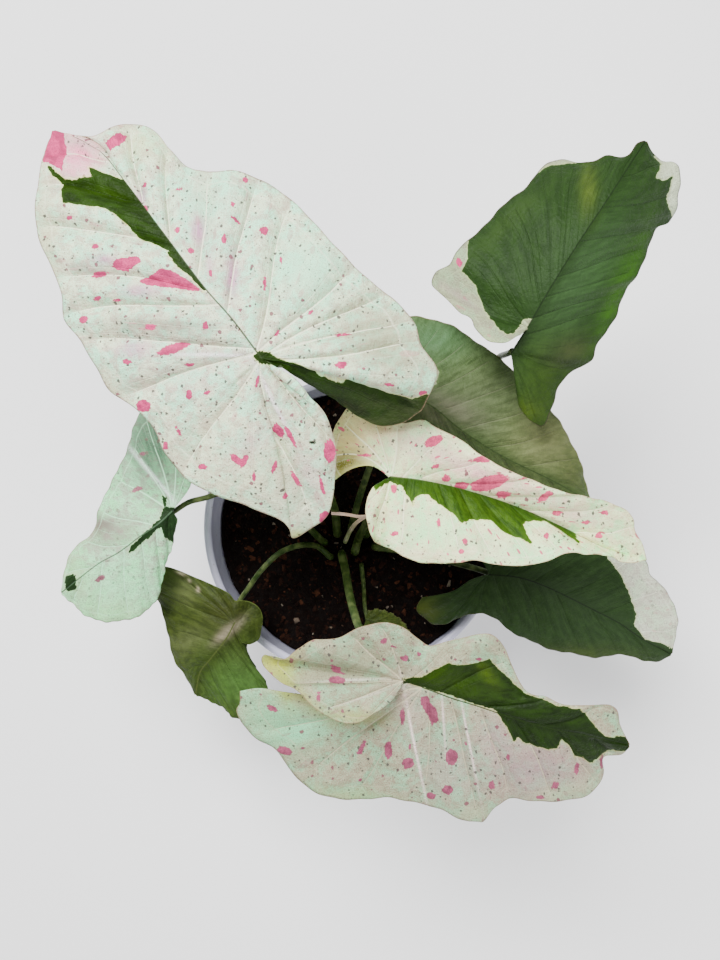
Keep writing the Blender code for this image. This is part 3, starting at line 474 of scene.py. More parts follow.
FINISHES = {
    "top_left": Finish(
        quilt=1.5, fold=0.6,
        sectors=[
            ("left", [
                (-142, 168), (-134.5, 162), (-121, 162), (-123, 166.5), (-114.5, 163),
                (-108, 161.5), (-99.5, 161.5), (-61.5, 112.5), (-70, 109.5), (-76, 116.5),
                (-83, 122.5), (-86.5, 127.5), (-84.5, 128), (-100, 134.5), (-110, 145),
                (-118, 148.5), (-134.5, 150), (-136, 160), (-141.5, 165)]),
            ("right", [
                (-48.5, 82.5), (-32.5, 78), (-25, 75.5), (-15, 69.5), (-5.5, 67), (4.5, 66.5),
                (17, 62.5), (27, 60), (34.5, 62.5), (42.5, 59), (35.5, 43), (-6.5, 45),
                (-30, 66)]),
            ("both", [(-46.5, 79.5), (-44, 76), (-38, 75.5), (-36.5, 79), (-39, 81.5), (-44, 82)])],
        patches=[
            [(-137.5, 187), (-146, 175.5), (-145, 170.5), (-135, 165), (-134, 175.5),
             (-134, 183)],
            [(-115, 178), (-109.5, 182.5), (-105.5, 182), (-106.5, 179), (-112.5, 174)],
            [(-101, 115), (-96.5, 112.5), (-82.5, 111), (-70, 109.5), (-77, 115), (-84, 119),
             (-89.5, 120), (-93.5, 117.5)],
            [(-112.5, 121.5), (-109, 124.5), (-99, 125.5), (-98.5, 123), (-105, 119),
             (-109.5, 119.5)]],
        spots=[
            (-119, 117.5, 3.7, 1.4, 10), (-82, 137.5, 1.4, 1.4, 0), (-60.5, 133.5, 1.2, 2.1, 0),
            (-119.5, 130, 1.6, 1.2, 0), (-132, 143.5, 1.6, 0.9, 20), (-119, 106.5, 1.9, 1.2, 20),
            (-125, 96.5, 2.3, 1.9, 0), (-81.5, 156.5, 1.9, 0.7, 0), (-68.5, 94, 1.4, 1.9, 0),
            (-94, 93, 2.8, 1.4, 0), (-97, 158.5, 1.2, 1.2, 0), (-75.5, 128, 1.4, 1.4, 0),
            (-66.5, 117.5, 0.9, 1.9, 0), (-84, 83, 7.4, 1.9, 15), (-97.5, 56.5, 3.7, 2.8, 0),
            (-41.5, 113.5, 0.7, 3.3, 0), (-4.5, 90, 3.7, 0.9, 0), (-6, 75.5, 2.8, 1.6, 0),
            (16, 67.5, 2.3, 0.9, 0), (32, 63, 2.1, 1.4, 0), (-35.5, 90.5, 0.9, 1.9, -30),
            (-45, 67.5, 0.9, 2.8, -10), (-35, 45, 2.3, 3.7, 30), (-29.5, 43, 1.2, 5.6, 28),
            (-55, 32.5, 1.6, 3.3, 45), (-51, 31.5, 1.4, 3.3, -25), (-46.5, 24, 0.9, 2.3, 0),
            (-37.5, 28.5, 0.9, 2.8, -15), (-27, 21.5, 1, 4.2, 30), (-32.5, 15, 1.6, 1.6, 0),
            (-70, 28.5, 2.3, 1.4, 0), (-11.5, 35.5, 2.8, 5.1, 0), (-13.5, 4, 2.8, 3.3, 0),
            (-15, 19.5, 0.9, 4.7, 15), (-67.5, 63, 1.6, 0.9, 20), (-34, 124, 0.7, 1.6, 0),
            (-110, 105.5, 1.9, 0.7, 0), (-42, 137, 2.3, 1.9, 0), (-50.5, 161.5, 1.4, 1.4, 0),
            (-56.5, 149.5, 0.9, 1.4, 0), (-76.5, 75.5, 2.3, 0.9, 0), (-105, 77.5, 2.3, 1.2, 0),
            (-87.5, 38, 1.4, 2.3, 0), (-55, 142.5, 3.5, 0.8, -30), (-76, 62, 1.6, 2.2, 0),
            (-81, 45, 0.8, 3.3, 35), (-97, 148, 1.2, 1.6, 0), (-20, 100, 1.4, 0.9, 40)],
        scars=[(-19.5, 40.0, 2.3, 0.6, -5)],
        inlays=[((0.022, 0.052, 0.003), -115, 156, 16, 3, -10, 0.8),
                ((0.020, 0.048, 0.003), -84, 140, 16, 2.5, -52, 0.8)],
        washes=[
            (LILAC, -80, 75, 34, 20, 0, 0.15), (LILAC, -70, 125, 30, 30, 0, 0.1),
            ((0.40, 0.95, 0.58), -23, 120, 15, 14, 0, 0.8),
            ((0.44, 0.92, 0.60), -68, 150, 18, 14, 0, 0.5),
            ((0.66, 0.60, 0.38), -48, 28, 34, 22, 0, 0.5),
            (ROSE, -128, 171.5, 12, 12, 0, 1.0), (LILAC, -56.5, 117, 3, 9, 0, 1.0),
            (LILAC, -67, 122, 2, 6, 0, 0.5), (LILAC, -72.5, 138, 3, 6, 0, 0.9),
            (LILAC, -99, 153.5, 3, 5, 0, 0.7), (LILAC, -99, 110, 9, 3, 0, 0.8),
            (LILAC, -115.5, 124, 6, 3, 0, 0.7), (LILAC, -102, 83, 8, 4, 0, 0.7),
            ((0.55, 0.54, 0.32), -143, 130, 6, 30, 0, 0.7),
            ((0.56, 0.55, 0.32), -115, 62, 6, 14, 40, 0.7),
            ((0.44, 0.30, 0.30), -128, 178, 9, 2, -15, 0.6),
            ((0.62, 0.70, 0.34), -98, 178, 12, 8, 0, 0.6),
            # Painted shade: a dark beige band just past a main vein on the left lobe.
            ((0.24, 0.20, 0.155), -91, 94, 26, 3.5, -2, 0.9),
            ((0.36, 0.25, 0.23), -121, 119.5, 12, 3, -12, 0.8),
            # Painted shade: darker beige on both sides of a raised pale rib, under its white line.
            ((0.44, 0.38, 0.32), -38, 60, 17, 4, -62, 0.6),
            ((0.95, 0.86, 0.86), -38, 60, 17, 1.0, -62, 1.0),
            # Painted shade: darker beige on both sides of a second raised pale rib, under its white
            # line.
            ((0.44, 0.40, 0.36), -62, 80, 22, 3, 178, 0.5),
            ((0.95, 0.88, 0.88), -62, 80, 22, 0.8, 178, 0.9),
            (LILAC, -20, 24, 6, 12, 20, 0.35), (LILAC, -48, 40, 12, 6, 40, 0.3),
            # Painted shade: the right lobe darker where it tilts away from the light.
            ((0.30, 0.32, 0.19), 14, 86, 26, 16, -30, 0.85),
            ((0.24, 0.17, 0.11), -9, 40, 5, 15, 0, 0.8),
            ((0.50, 0.56, 0.38), -28, 10, 18, 14, 0, 0.5),
            ((0.32, 0.36, 0.08), -27, -3.5, 4, 3, 0, 0.9)],
        veins=(
            [(0.13, 0.12), (0.38, 0.235), (0.47, 0.465), (0.55, 0.60), (0.56, 0.69),
             (0.69, 0.737), (0.72, 0.79), (0.80, 0.86), (0.87, 0.92), (0.93, 0.965)],
            [(0.10, 0.13), (0.19, 0.265), (0.375, 0.30), (0.41, 0.36), (0.455, 0.42),
             (0.465, 0.572), (0.605, 0.635), (0.69, 0.715), (0.77, 0.80), (0.84, 0.875),
             (0.91, 0.95)]),
        split=15, columns=58),
    "top_right": Finish(
        ground="green", pale=(0.31, 0.34, 0.20), mint=(0.27, 0.37, 0.21), beige=(0.26, 0.25, 0.17),
        green=(0.0165, 0.039, 0.008), dark=(0.0115, 0.028, 0.006), halo=(0.40, 0.48, 0.20),
        rib=(0.008, 0.018, 0.005), edge=(0.07, 0.045, 0.025), speckle=0.3, vein=0.15, quilt=0.2,
        sectors=[
            ("left", [
                (33, 140.5), (53.5, 135.5), (53, 124.5), (50, 119), (56.5, 112.5), (60.5, 100.5),
                (68, 91), (74, 89.5), (79, 96.5), (84, 97), (83, 86), (72.5, 80), (58.5, 84.5),
                (33, 105.5)]),
            ("left", [(84, 164), (92, 168), (103, 169.5), (109.5, 175.5), (86.5, 175.5)]),
            ("both", [
                (139.5, 172), (142.8, 169), (140, 162.5), (143.7, 161), (148, 163.2),
                (145.5, 152.2), (147.6, 144.6), (158, 144), (158, 175.5), (144.5, 175.5)])],
        spots=[(49, 123, 1.4, 2.3, 20)],
        washes=[
            ((0.044, 0.100, 0.030), 107, 117, 34, 12, 58, 0.8),
            ((0.034, 0.100, 0.008), 124, 111, 30, 5, 66, 0.85),
            ((0.090, 0.130, 0.015), 109, 156, 4, 12, 0, 0.5),
            ((0.030, 0.060, 0.022), 103, 115, 8, 22, -25, 0.5),
            ((0.028, 0.056, 0.006), 86, 64, 14, 22, 0, 0.7),
            ((0.060, 0.100, 0.008), 80, 53, 7, 6, 0, 0.7),
            ((0.050, 0.050, 0.022), 100, 82, 11, 7, 20, 0.5),
            ((0.030, 0.060, 0.012), 72, 142, 24, 5, 45, 0.5)],
        inlays=[((0.66, 0.74, 0.52), 148, 158, 7, 16, 0, 1.0),
                ((0.44, 0.56, 0.26), 66, 84, 18, 3, -25, 0.8),
                ((0.26, 0.36, 0.20), 40, 116, 9, 2.5, 40, 0.7),
                ((0.30, 0.22, 0.20), 48, 108, 12, 2, -35, 0.6)],
        veins=(
            [(0.10, 0.08), (0.20, 0.25), (0.31, 0.44), (0.42, 0.60), (0.56, 0.79),
             (0.74, 0.90), (0.88, 0.96)],
            [(0.10, 0.10), (0.25, 0.26), (0.42, 0.47), (0.50, 0.52), (0.573, 0.58),
             (0.64, 0.645), (0.745, 0.72), (0.83, 0.81), (0.91, 0.91)]),
        split=16, columns=48),
    "back": Finish(
        ground="green", pale=(0.30, 0.32, 0.20), mint=(0.26, 0.33, 0.18), beige=(0.26, 0.24, 0.17),
        green=(0.064, 0.100, 0.035), dark=(0.034, 0.058, 0.016), halo=(0.20, 0.24, 0.12),
        rib=(0.030, 0.050, 0.016), edge=(0.22, 0.19, 0.08), speckle=0.2, vein=-0.12, quilt=0.4,
        sectors=[("both", [(26, 87), (33.5, 78.5), (40, 72), (38, 66.5), (32.5, 64.5),
                           (23.5, 63.5)])],
        washes=[((0.060, 0.130, 0.055), 38, 88, 16, 10, 0, 0.9),
                ((0.200, 0.210, 0.090), 90, 40, 20, 16, 0, 0.75),
                ((0.070, 0.082, 0.028), 101, 26, 8, 14, 0, 0.7),
                ((0.180, 0.150, 0.120), 42, 55, 18, 7, -20, 0.6),
                ((0.110, 0.120, 0.070), 60, 62, 18, 14, 0, 0.4)],
        veins=(even_veins(10, 0.05), even_veins(6, 0.05)), split=14, columns=36),
    "centre": Finish(
        pale=(0.84, 0.98, 0.50), mint=(0.50, 0.98, 0.42), beige=(0.80, 0.68, 0.40), quilt=0.5,
        green=(0.040, 0.092, 0.005), dark=(0.017, 0.046, 0.003), halo=(0.66, 0.72, 0.22),
        edge=(0.45, 0.30, 0.20), rib=(0.05, 0.09, 0.02), pink=(0.70, 0.09, 0.19), streaks=0.9,
        sectors=[
            ("right", [
                (10, 17), (16.5, 21), (22, 19), (25.5, 13.5), (27.5, 9.5), (28.5, 13.5),
                (30.5, 15), (34.5, 15), (39, 10.5), (45.5, 7), (50, 1.5), (54.5, 3.5),
                (63.5, 3), (68.5, -2), (72.5, -3.5), (82.5, -7.5), (78.5, 1), (80, 2.5),
                (88.5, 2.5), (98, -3), (105, -7.5), (101.5, -2), (107.5, -0.5), (86.5, 10),
                (44.5, 26.5), (16.5, 31), (8.5, 24)])],
        spots=[
            (37, 40, 5.1, 2.3, 25), (60, 31.5, 5.1, 1.6, 10), (63, 21, 9.3, 3.3, 14),
            (50, 19.5, 3.3, 1.9, 0), (43, 23, 2.1, 1.6, 0), (69.5, 15.5, 3.7, 1.9, 0),
            (89, 14.5, 4.2, 1.6, 38), (38, 28.5, 1.6, 1.2, 0), (6, 33.5, 2.3, 0.7, 0),
            (114, -4, 1.6, 1.4, 0), (89.5, -4, 1.2, 1.4, 0), (108, 2.5, 1.9, 0.9, 0),
            (116.5, 7, 2.3, 0.9, 0), (39.5, 2, 0.8, 2.8, 0), (51.5, -6.5, 1.4, 1.4, 0),
            (50, -11.5, 1.4, 1.2, 0), (19, -3, 1.6, 1.2, 0), (18.5, 18, 1.4, 2.3, 0),
            (94.5, 6.5, 2.3, 1, 0), (79.5, 23, 2.8, 0.7, 15)],
        washes=[
            ((0.85, 0.36, 0.44), 62, 24, 22, 5, -20, 0.8),
            ((0.85, 0.50, 0.50), 40, 34, 16, 6, -25, 0.5),
            ((0.80, 0.62, 0.58), 18, 42, 18, 9, 0, 0.4),
            ((0.80, 0.52, 0.54), 100, 8, 20, 6, -20, 0.55),
            ((0.56, 0.42, 0.15), -3, 36, 12, 18, 0, 1.0),
            ((0.66, 0.46, 0.22), 12, 48, 12, 8, 0, 0.7),
            ((0.13, 0.13, 0.015), -5, 29, 9, 5, 10, 1.0),
            ((0.60, 0.54, 0.06), 2, 27, 7, 2, 15, 0.8),
            ((0.14, 0.20, 0.03), 9, -8, 4, 3, 0, 0.9),
            ((0.50, 0.98, 0.46), 37, -2, 15, 8, 0, 0.7),
            ((0.50, 0.98, 0.48), 78, -12, 18, 5, 0, 0.6),
            ((0.84, 0.76, 0.46), 34, -13, 26, 3, 0, 0.7), ((0.66, 0.54, 0.38), 15, 6, 9, 5, 0, 0.5),
            ((0.80, 0.60, 0.44), 58, -8, 8, 5, 0, 0.4)],
        veins=(
            [(0.08, 0.06), (0.16, 0.14), (0.24, 0.22), (0.33, 0.305), (0.40, 0.425),
             (0.47, 0.53), (0.56, 0.64), (0.66, 0.74), (0.76, 0.83), (0.86, 0.91)],
            [(0.10, 0.08), (0.22, 0.18), (0.35, 0.28), (0.47, 0.464), (0.53, 0.55),
             (0.59, 0.65), (0.68, 0.74), (0.78, 0.83), (0.88, 0.92)]),
        split=16, columns=48),
    "front": Finish(
        # These pale, mint and beige are partly the blade's own duller tone and partly painted shade
        # of a blade that droops away from the key light.
        pale=(0.40, 0.36, 0.24), mint=(0.28, 0.50, 0.29), beige=(0.30, 0.235, 0.16), quilt=0.8,
        fold=0.25,
        green=(0.010, 0.027, 0.0015), dark=(0.005, 0.013, 0.001), halo=(0.36, 0.38, 0.13),
        edge=(0.30, 0.20, 0.12), rib=(0.010, 0.024, 0.002), pink=(0.30, 0.072, 0.125),
        streaks=0.3,
        sectors=[
            ("both", [
                (23, -70.5), (30.5, -70), (37.5, -66), (44.5, -63), (51, -63.5), (62, -62),
                (63, -61), (64, -63), (67, -65.5), (72.5, -70), (75.5, -74), (79, -77),
                (93.5, -82.5), (104.5, -84), (109.5, -89), (112.5, -93), (116.5, -97),
                (124.5, -97), (133, -96.5), (133, -104.5), (121, -103.5), (114.5, -106),
                (109.5, -109.5), (106, -106.5), (103, -107.5), (100.5, -102), (96.5, -99),
                (94, -102.5), (84.5, -102), (80, -101), (76.5, -98), (74, -99), (71, -91.5),
                (65.5, -85), (57, -82.5), (46.5, -78.5), (25.5, -72.5)])],
        patches=[[(31, -78.5), (34.5, -78.5), (35.5, -82), (38.5, -84.5), (39.5, -89.5),
                  (36, -92.5), (33.5, -86.5), (31, -82.5)]],
        spots=[
            (45.5, -106.5, 2.8, 3.7, 0), (25, -109, 2.8, 2.6, 0), (43.5, -121.5, 2.8, 2.1, 20),
            (36, -125, 2.3, 1.6, 0), (64, -119.5, 1.6, 2.1, 0), (71.5, -106.5, 0.9, 1.6, 0),
            (103.5, -112, 1.2, 2.6, -15), (93.5, -120, 1.4, 2.3, -30), (115, -108.5, 1.2, 3.3, 0),
            (22.5, -88, 1.1, 4.2, 0), (26, -101.5, 0.7, 1.4, 0), (52, -100.5, 0.7, 0.9, 0),
            (58, -61, 1.2, 0.7, 0), (23.5, -60.5, 1.9, 1.2, 25), (30, -58.5, 0.9, 0.9, 0),
            (87, -125.5, 2.3, 0.9, 0), (-32, -103.5, 3.7, 1.9, -15), (3.5, -102.5, 1, 4.2, -25),
            (16, -104, 1.9, 3.7, 0), (-8, -71, 4.2, 1.4, -5), (-7.5, -66.5, 4.2, 1.2, -35),
            (14, -53, 1.5, 1.2, 0), (19, -56, 1.4, 0.6, 0), (-16.5, -79, 0.9, 2.3, 0),
            (-37.5, -84, 2.8, 1.2, -30), (3, -117.5, 0.9, 0.9, 0), (-23.5, -102, 1.4, 0.7, 20)],
        washes=[
            ((0.37, 0.23, 0.25), 84, -112, 24, 15, 0, 0.8),
            ((0.46, 0.33, 0.32), 66, -98, 8, 12, 20, 0.6),
            ((0.45, 0.35, 0.30), 26, -84, 9, 14, 0, 0.6),
            ((0.42, 0.46, 0.38), 44, -112, 14, 16, 0, 0.4),
            ((0.24, 0.60, 0.30), -36, -90, 20, 13, -20, 0.9),
            ((0.22, 0.72, 0.38), -24, -94, 12, 4, 20, 0.8),
            ((0.32, 0.48, 0.20), 0, -125, 26, 4, -8, 0.7),
            ((0.42, 0.49, 0.29), 98, -124, 16, 5, 10, 0.7),
            ((0.38, 0.46, 0.27), 56, -133, 12, 4, 0, 0.7),
            ((0.22, 0.235, 0.14), -4, -64, 24, 13, 10, 0.9),
            ((0.40, 0.44, 0.02), -38, -63, 10, 6, -15, 1.0),
            ((0.36, 0.42, 0.04), -32.5, -72, 4, 10, 20, 0.95),
            ((0.33, 0.32, 0.11), -30, -57, 12, 3, 25, 0.8),
            ((0.29, 0.30, 0.09), -26, -77, 18, 3, -40, 0.8),
            ((0.27, 0.30, 0.10), 0, -88, 16, 4, -5, 0.9),
            ((0.29, 0.33, 0.20), 60, -54, 26, 7, 0, 0.6),
            ((1.0, 0.80, 0.75), 28, -100, 26, 0.55, -78.5, 1.0),
            ((1.0, 0.80, 0.75), 53.6, -100, 20, 0.5, -79, 1.0),
            ((0.9, 0.72, 0.68), 41.8, -91, 14, 0.5, -86, 0.9),
            ((0.62, 0.60, 0.48), -2, -71, 16, 0.5, 2, 0.8),
            ((0.62, 0.60, 0.48), 2, -80, 14, 0.5, 18, 0.7),
            ((0.30, 0.22, 0.17), 21, -77, 8, 5, -30, 0.6)],
        # Painted sheen: brighter green towards the upper left of the green sector.
        inlays=[((0.021, 0.047, 0.002), 42, -72, 22, 9, -18, 0.9),
                ((0.050, 0.090, 0.004), 61, -67, 8, 3, -50, 0.7)],
        veins=(
            [(0.06, 0.06), (0.123, 0.123), (0.20, 0.20), (0.30, 0.30), (0.41, 0.415),
             (0.49, 0.47), (0.58, 0.61), (0.68, 0.72), (0.78, 0.82), (0.88, 0.91)],
            [(0.12, 0.12), (0.24, 0.24), (0.35, 0.357), (0.46, 0.50), (0.543, 0.602),
             (0.64, 0.69), (0.74, 0.78), (0.84, 0.87), (0.92, 0.945)]),
        split=17, columns=54),
    "left": Finish(
        pale=(0.40, 0.84, 0.46), mint=(0.30, 0.86, 0.38), beige=(0.38, 0.38, 0.30), quilt=0.6,
        green=(0.012, 0.034, 0.008), dark=(0.006, 0.018, 0.004), halo=(0.40, 0.55, 0.30),
        speckle=0.5, edge=(0.24, 0.24, 0.12), rib=(0.05, 0.09, 0.05), streaks=0.2,
        pink=(0.30, 0.12, 0.15),
        sectors=[
            ("both", [
                (-89.5, 14.5), (-87, 14), (-87.5, 9.5), (-81, 9), (-83, 0), (-83.5, -7.5),
                (-88.5, -4.5), (-90, 0), (-95.5, -5), (-102, -10.5), (-105, -12),
                (-103.5, -8.5), (-96, -1.5), (-90, 4), (-88.5, 9.5)]),
            ("both", [(-134.5, -22.5), (-129, -22), (-129, -29.5), (-133.5, -29)])],
        spots=[(-101, 17.5, 3.0, 1.1, 20), (-98, 34, 1.6, 1.0, 0), (-118, -24, 2.5, 1.2, 30)],
        washes=[((0.064, 0.145, 0.084), -93, 37, 18, 24, 15, 0.95),
                ((0.12, 0.22, 0.14), -84, 48, 10, 8, 0, 0.6),
                ((0.28, 0.22, 0.19), -112, -3, 16, 8, 10, 0.8),
                ((0.17, 0.13, 0.11), -118, 1, 7, 4, 0, 0.9),
                ((0.50, 0.50, 0.42), -118, -24, 8, 3, 35, 0.4),
                ((0.36, 0.94, 0.46), -108, -28, 18, 11, 0, 0.6),
                ((0.46, 0.30, 0.22), -125, 1, 4, 6, 0, 0.7),
                ((0.34, 0.62, 0.26), -130, -22, 7, 14, 20, 0.7),
                ((0.40, 0.80, 0.34), -112, -40, 18, 7, 0, 0.7),
                ((0.82, 0.92, 0.86), -92, 22, 1.0, 20, 40, 0.8)],
        veins=(even_veins(9, 0.05), even_veins(7, 0.05)), split=14, columns=36),
    "low_left": Finish(
        ground="green", pale=(0.30, 0.24, 0.17), mint=(0.24, 0.24, 0.13), beige=(0.26, 0.20, 0.14),
        green=(0.038, 0.055, 0.009), dark=(0.018, 0.028, 0.004), halo=(0.16, 0.17, 0.06),
        rib=(0.05, 0.065, 0.015), edge=(0.10, 0.13, 0.03), speckle=0.2, vein=0.15, quilt=0.5,
        washes=[((0.030, 0.022, 0.009), -53, -66, 9, 9, 0, 0.8),
                ((0.040, 0.034, 0.012), -60, -40, 10, 10, 0, 0.4),
                ((0.13, 0.15, 0.055), -80, -29, 8, 6, -40, 0.6),
                # Painted sheen: a lighter silvery band on the blade.
                ((0.095, 0.11, 0.042), -77, -53, 10, 6, 30, 0.6),
                ((0.070, 0.170, 0.034), -52, -72, 18, 14, 0, 0.65),
                # A pale pinkish streak on the fold by the stalk, partly its own tone and partly a
                # painted highlight.
                ((0.50, 0.40, 0.30), -58.5, -48.5, 7, 2.2, 42, 0.9),
                ((0.55, 0.45, 0.32), -80.5, -21.5, 2.2, 0.8, -20, 1.0),
                ((0.55, 0.45, 0.32), -76.5, -25.0, 0.8, 0.7, 0, 1.0),
                ((0.55, 0.45, 0.32), -72.5, -29.0, 0.8, 1.1, 0, 1.0)],
        veins=(even_veins(7, 0.05), even_veins(6, 0.05)), split=14, columns=32),
    "low_right": Finish(
        ground="green", pale=(0.58, 0.60, 0.47), mint=(0.50, 0.62, 0.42), beige=(0.46, 0.42, 0.34),
        green=(0.0185, 0.040, 0.011), dark=(0.013, 0.029, 0.008), halo=(0.42, 0.48, 0.22),
        rib=(0.006, 0.012, 0.004), edge=(0.09, 0.09, 0.04), speckle=0.4, vein=0.12, quilt=0.3,
        sectors=[("both", [
            (118, -14.5), (123.5, -21.5), (129, -33.5), (131, -40.5), (130, -45),
            (135.5, -52), (141.5, -53.5), (148, -56.5), (161, -52.5), (156, -15.5),
            (133, -6), (116, -8)])],
        washes=[((0.060, 0.075, 0.012), 32, -38.5, 8, 8, 0, 0.8),
                ((0.048, 0.068, 0.014), 98, -60, 30, 5, 0, 0.7)],
        veins=(even_veins(7, 0.05), even_veins(8, 0.05)), split=14, columns=40),
    "small": Finish(
        ground="green", pale=(0.2, 0.2, 0.1), mint=(0.16, 0.18, 0.08), beige=(0.2, 0.16, 0.1),
        green=(0.060, 0.080, 0.016), dark=(0.030, 0.045, 0.009), rib=(0.05, 0.07, 0.02),
        edge=(0.1, 0.1, 0.04), speckle=0.1, vein=0.2,
        veins=(even_veins(5, 0.05), even_veins(5, 0.05)), split=10, columns=20),
}

# The stalks other than the front one are toned down: painted shade of the dark gaps between the
# blades that they run through.
STALK_COLOURS = {
    "default": ((0.024, 0.050, 0.007), (0.013, 0.030, 0.004)),
    "front": ((0.021, 0.047, 0.006), (0.017, 0.037, 0.005)),
}


def place(points):
    """Real positions in metres of drawn points, up their lines of sight from the rim's level."""
    points = np.asarray(points, float)
    eye = np.array(EYE)
    height = points[..., 2:]
    share = (eye[2] - height) / (eye[2] - POT_HEIGHT)
    flat = eye[:2] + (points[..., :2] - eye[:2]) * share
    return np.concatenate([flat, height], axis=-1) * MM


def smooth_curve(points):
    """Finely spaced points on a Catmull-Rom curve through the given ones."""
    knots = np.asarray([tuple(p) for p in points], float)
    ends = np.vstack([2 * knots[0] - knots[1], knots, 2 * knots[-1] - knots[-2]])
    t = (np.arange(CURVE_STEPS) / CURVE_STEPS)[:, None]
    spans = []
    for a, b, c, d in zip(ends, ends[1:], ends[2:], ends[3:]):
        spans.append(0.5 * (2 * b + (c - a) * t + (2 * a - 5 * b + 4 * c - d) * t ** 2
                            + (3 * b - a - 3 * c + d) * t ** 3))
    return np.vstack(spans + [knots[-1:]])


def walk(fine, shares):
    """Points at the given shares of a fine polyline's length."""
    lengths = np.concatenate([[0], np.cumsum(np.linalg.norm(np.diff(fine, axis=0), axis=1))])
    at = np.asarray(shares) * lengths[-1]
    return np.stack([np.interp(at, lengths, fine[:, k]) for k in range(fine.shape[1])], axis=-1)


def smoothstep(low, high, value):
    """0 below low, 1 above high and a smooth rise between them."""
    t = np.clip((value - low) / (high - low), 0.0, 1.0)
    return t * t * (3 - 2 * t)


def inside_distance(points, outline):
    """Distance from flat points to an outline, positive inside it."""
    corners = np.asarray(outline, float)
    nearest = np.full(points.shape[:-1], np.inf)
    inside = np.zeros(points.shape[:-1], bool)
    x, y = points[..., 0], points[..., 1]
    for a, b in zip(corners, np.roll(corners, -1, axis=0)):
        edge = b - a
        t = np.clip(((points - a) @ edge) / max(edge @ edge, 1e-9), 0.0, 1.0)
        nearest = np.minimum(nearest, np.linalg.norm(points - a - t[..., None] * edge, axis=-1))
        crosses = (a[1] > y) != (b[1] > y)
        rise = edge[1] if edge[1] else 1e-9
        inside ^= crosses & (x < a[0] + (y - a[1]) / rise * edge[0])
    return np.where(inside, nearest, -nearest)


def spot_reach(points, spot):
    """How far out from a turned oval's middle flat points lie: 1 on its edge."""
    x, y, half_length, half_width, turn = spot
    turn = math.radians(turn)
    away = points - np.array([x, y])
    along = away[..., 0] * math.cos(turn) + away[..., 1] * math.sin(turn)
    across = away[..., 1] * math.cos(turn) - away[..., 0] * math.sin(turn)
    return np.sqrt((along / half_length) ** 2 + (across / half_width) ** 2)


def side_grid(blade, side, finish):
    """One side of a blade as drawn points, in rows from the midrib out to the margin.

    Gives the midrib, each row's station on it, the rows' shares of the margin, the columns'
    shares of the way out and the points.
    """
    stations = blade.rows * finish.split
    root = side.root * finish.split
    rib = walk(smooth_curve(blade.midrib), (np.arange(stations + 1) / stations) ** blade.sweep)
    fan = max(1, round((stations - root) * side.lobe / (1 - side.lobe)))
    steps = np.arange(root, stations)
    station = np.concatenate([np.full(fan, root), steps])
    s = np.concatenate([side.lobe * np.arange(fan) / fan,
                        side.lobe + (1 - side.lobe) * (steps - root) / (stations - root)])
    t = np.arange(finish.columns + 1) / finish.columns
    margin = walk(smooth_curve(list(side.margin) + [blade.midrib[-1]]), s)
    start, end = rib[station][:, None], margin[:, None]
    points = start + (end - start) * t[None, :, None]
    if side.bend:
        inner = walk(smooth_curve([rib[root]] + list(side.bend) + [margin[0]]), t)
        straight = rib[root] + (margin[0] - rib[root]) * t[:, None]
        fade = np.maximum(0.0, 1.0 - s / BEND_SPAN)
        points = points + fade[:, None, None] * (inner - straight)
    reach = np.linalg.norm((margin - rib[station])[:, :2], axis=1)
    points[..., 2] += 4 * blade.dome * (reach / reach.max())[:, None] * t * (1 - t)
    return rib, station, s, t, points


def vein_numbers(s, t, veins):
    """A running number across the veins, which is whole on each main vein."""
    starts, ends = np.array(veins, float).T
    number = np.empty((len(s), len(t)))
    for column, share in enumerate(1 - (1 - t) ** 2):
        lines = np.concatenate([[-VEIN_OVERRUN], starts + (ends - starts) * share,
                                [1 + VEIN_OVERRUN]])
        number[:, column] = np.interp(s, lines, np.arange(len(lines)))
    return number + VEIN_WOBBLE * np.sin(7 * t[None, :] + 2.1 * number)


def crinkles(flat):
    """Small uneven swellings, from about -1 to 1, at flat points."""
    spots = [Vector((x, y, 0)) / CRINKLE_SIZE for x, y in flat.reshape(-1, 2)]
    return np.array([noise.noise(spot) for spot in spots]).reshape(flat.shape[:2])


def tinted(flat, washes):
    """The share and the tone that soft-edged washes give at flat points."""
    tone, share = np.zeros((*flat.shape[:2], 3)), np.zeros(flat.shape[:2])
    for colour_now, *spot, strength in washes:
        here = strength * np.exp(-spot_reach(flat, spot) ** 2)
        tone = tone * (1 - here[..., None]) + here[..., None] * np.array(colour_now)
        share = share * (1 - here) + here
    return share, tone / np.maximum(share, 1e-4)[..., None]


def blade_relief(s, t, flat, fields, finish, looks):
    """Height over a side in mm: puffed between the veins, sunk on them, waved at the margin."""
    number, spread, edge = fields["number"], fields["spread"], fields["edge"]
    away = np.abs(number - np.round(number))
    inner = smoothstep(*RELIEF_BEGINS, t) * (1 - smoothstep(*RELIEF_ENDS, t))
    size = np.clip(spread / WIDE_CELL, 0, 1.0)
    gap = np.hypot(away * spread, VEIN_HALF_WIDTH) - VEIN_HALF_WIDTH
    puff = size * (1 - np.exp(-gap / PUFF_REACH) + 0.4 * np.sin(np.pi * away) - 0.2)
    groove = size * np.exp(-(away * spread / VEIN_HALF_WIDTH) ** 2) * (1 - 0.7 * t)
    loop = edge - looks.collecting_vein * (edge + fields["rib"])
    relief = finish.quilt * looks.quilting / MM * inner * (puff - PUFF_SUNK)
    relief -= finish.quilt * looks.vein_depth / MM * groove * smoothstep(*VEINS_BEGIN, t)
    relief -= LOOP_SHARE * looks.vein_depth / MM * np.exp(-loop ** 2)
    relief += finish.quilt * looks.crinkle / MM * inner * crinkles(flat)
    rows = np.linspace(0, 2 * math.pi * RIPPLES, len(s))
    ripple = np.sin(rows + 1.0) + 0.6 * np.sin(2.6 * rows)
    return relief + looks.margin_ripple / MM * ripple[:, None] * t ** 4


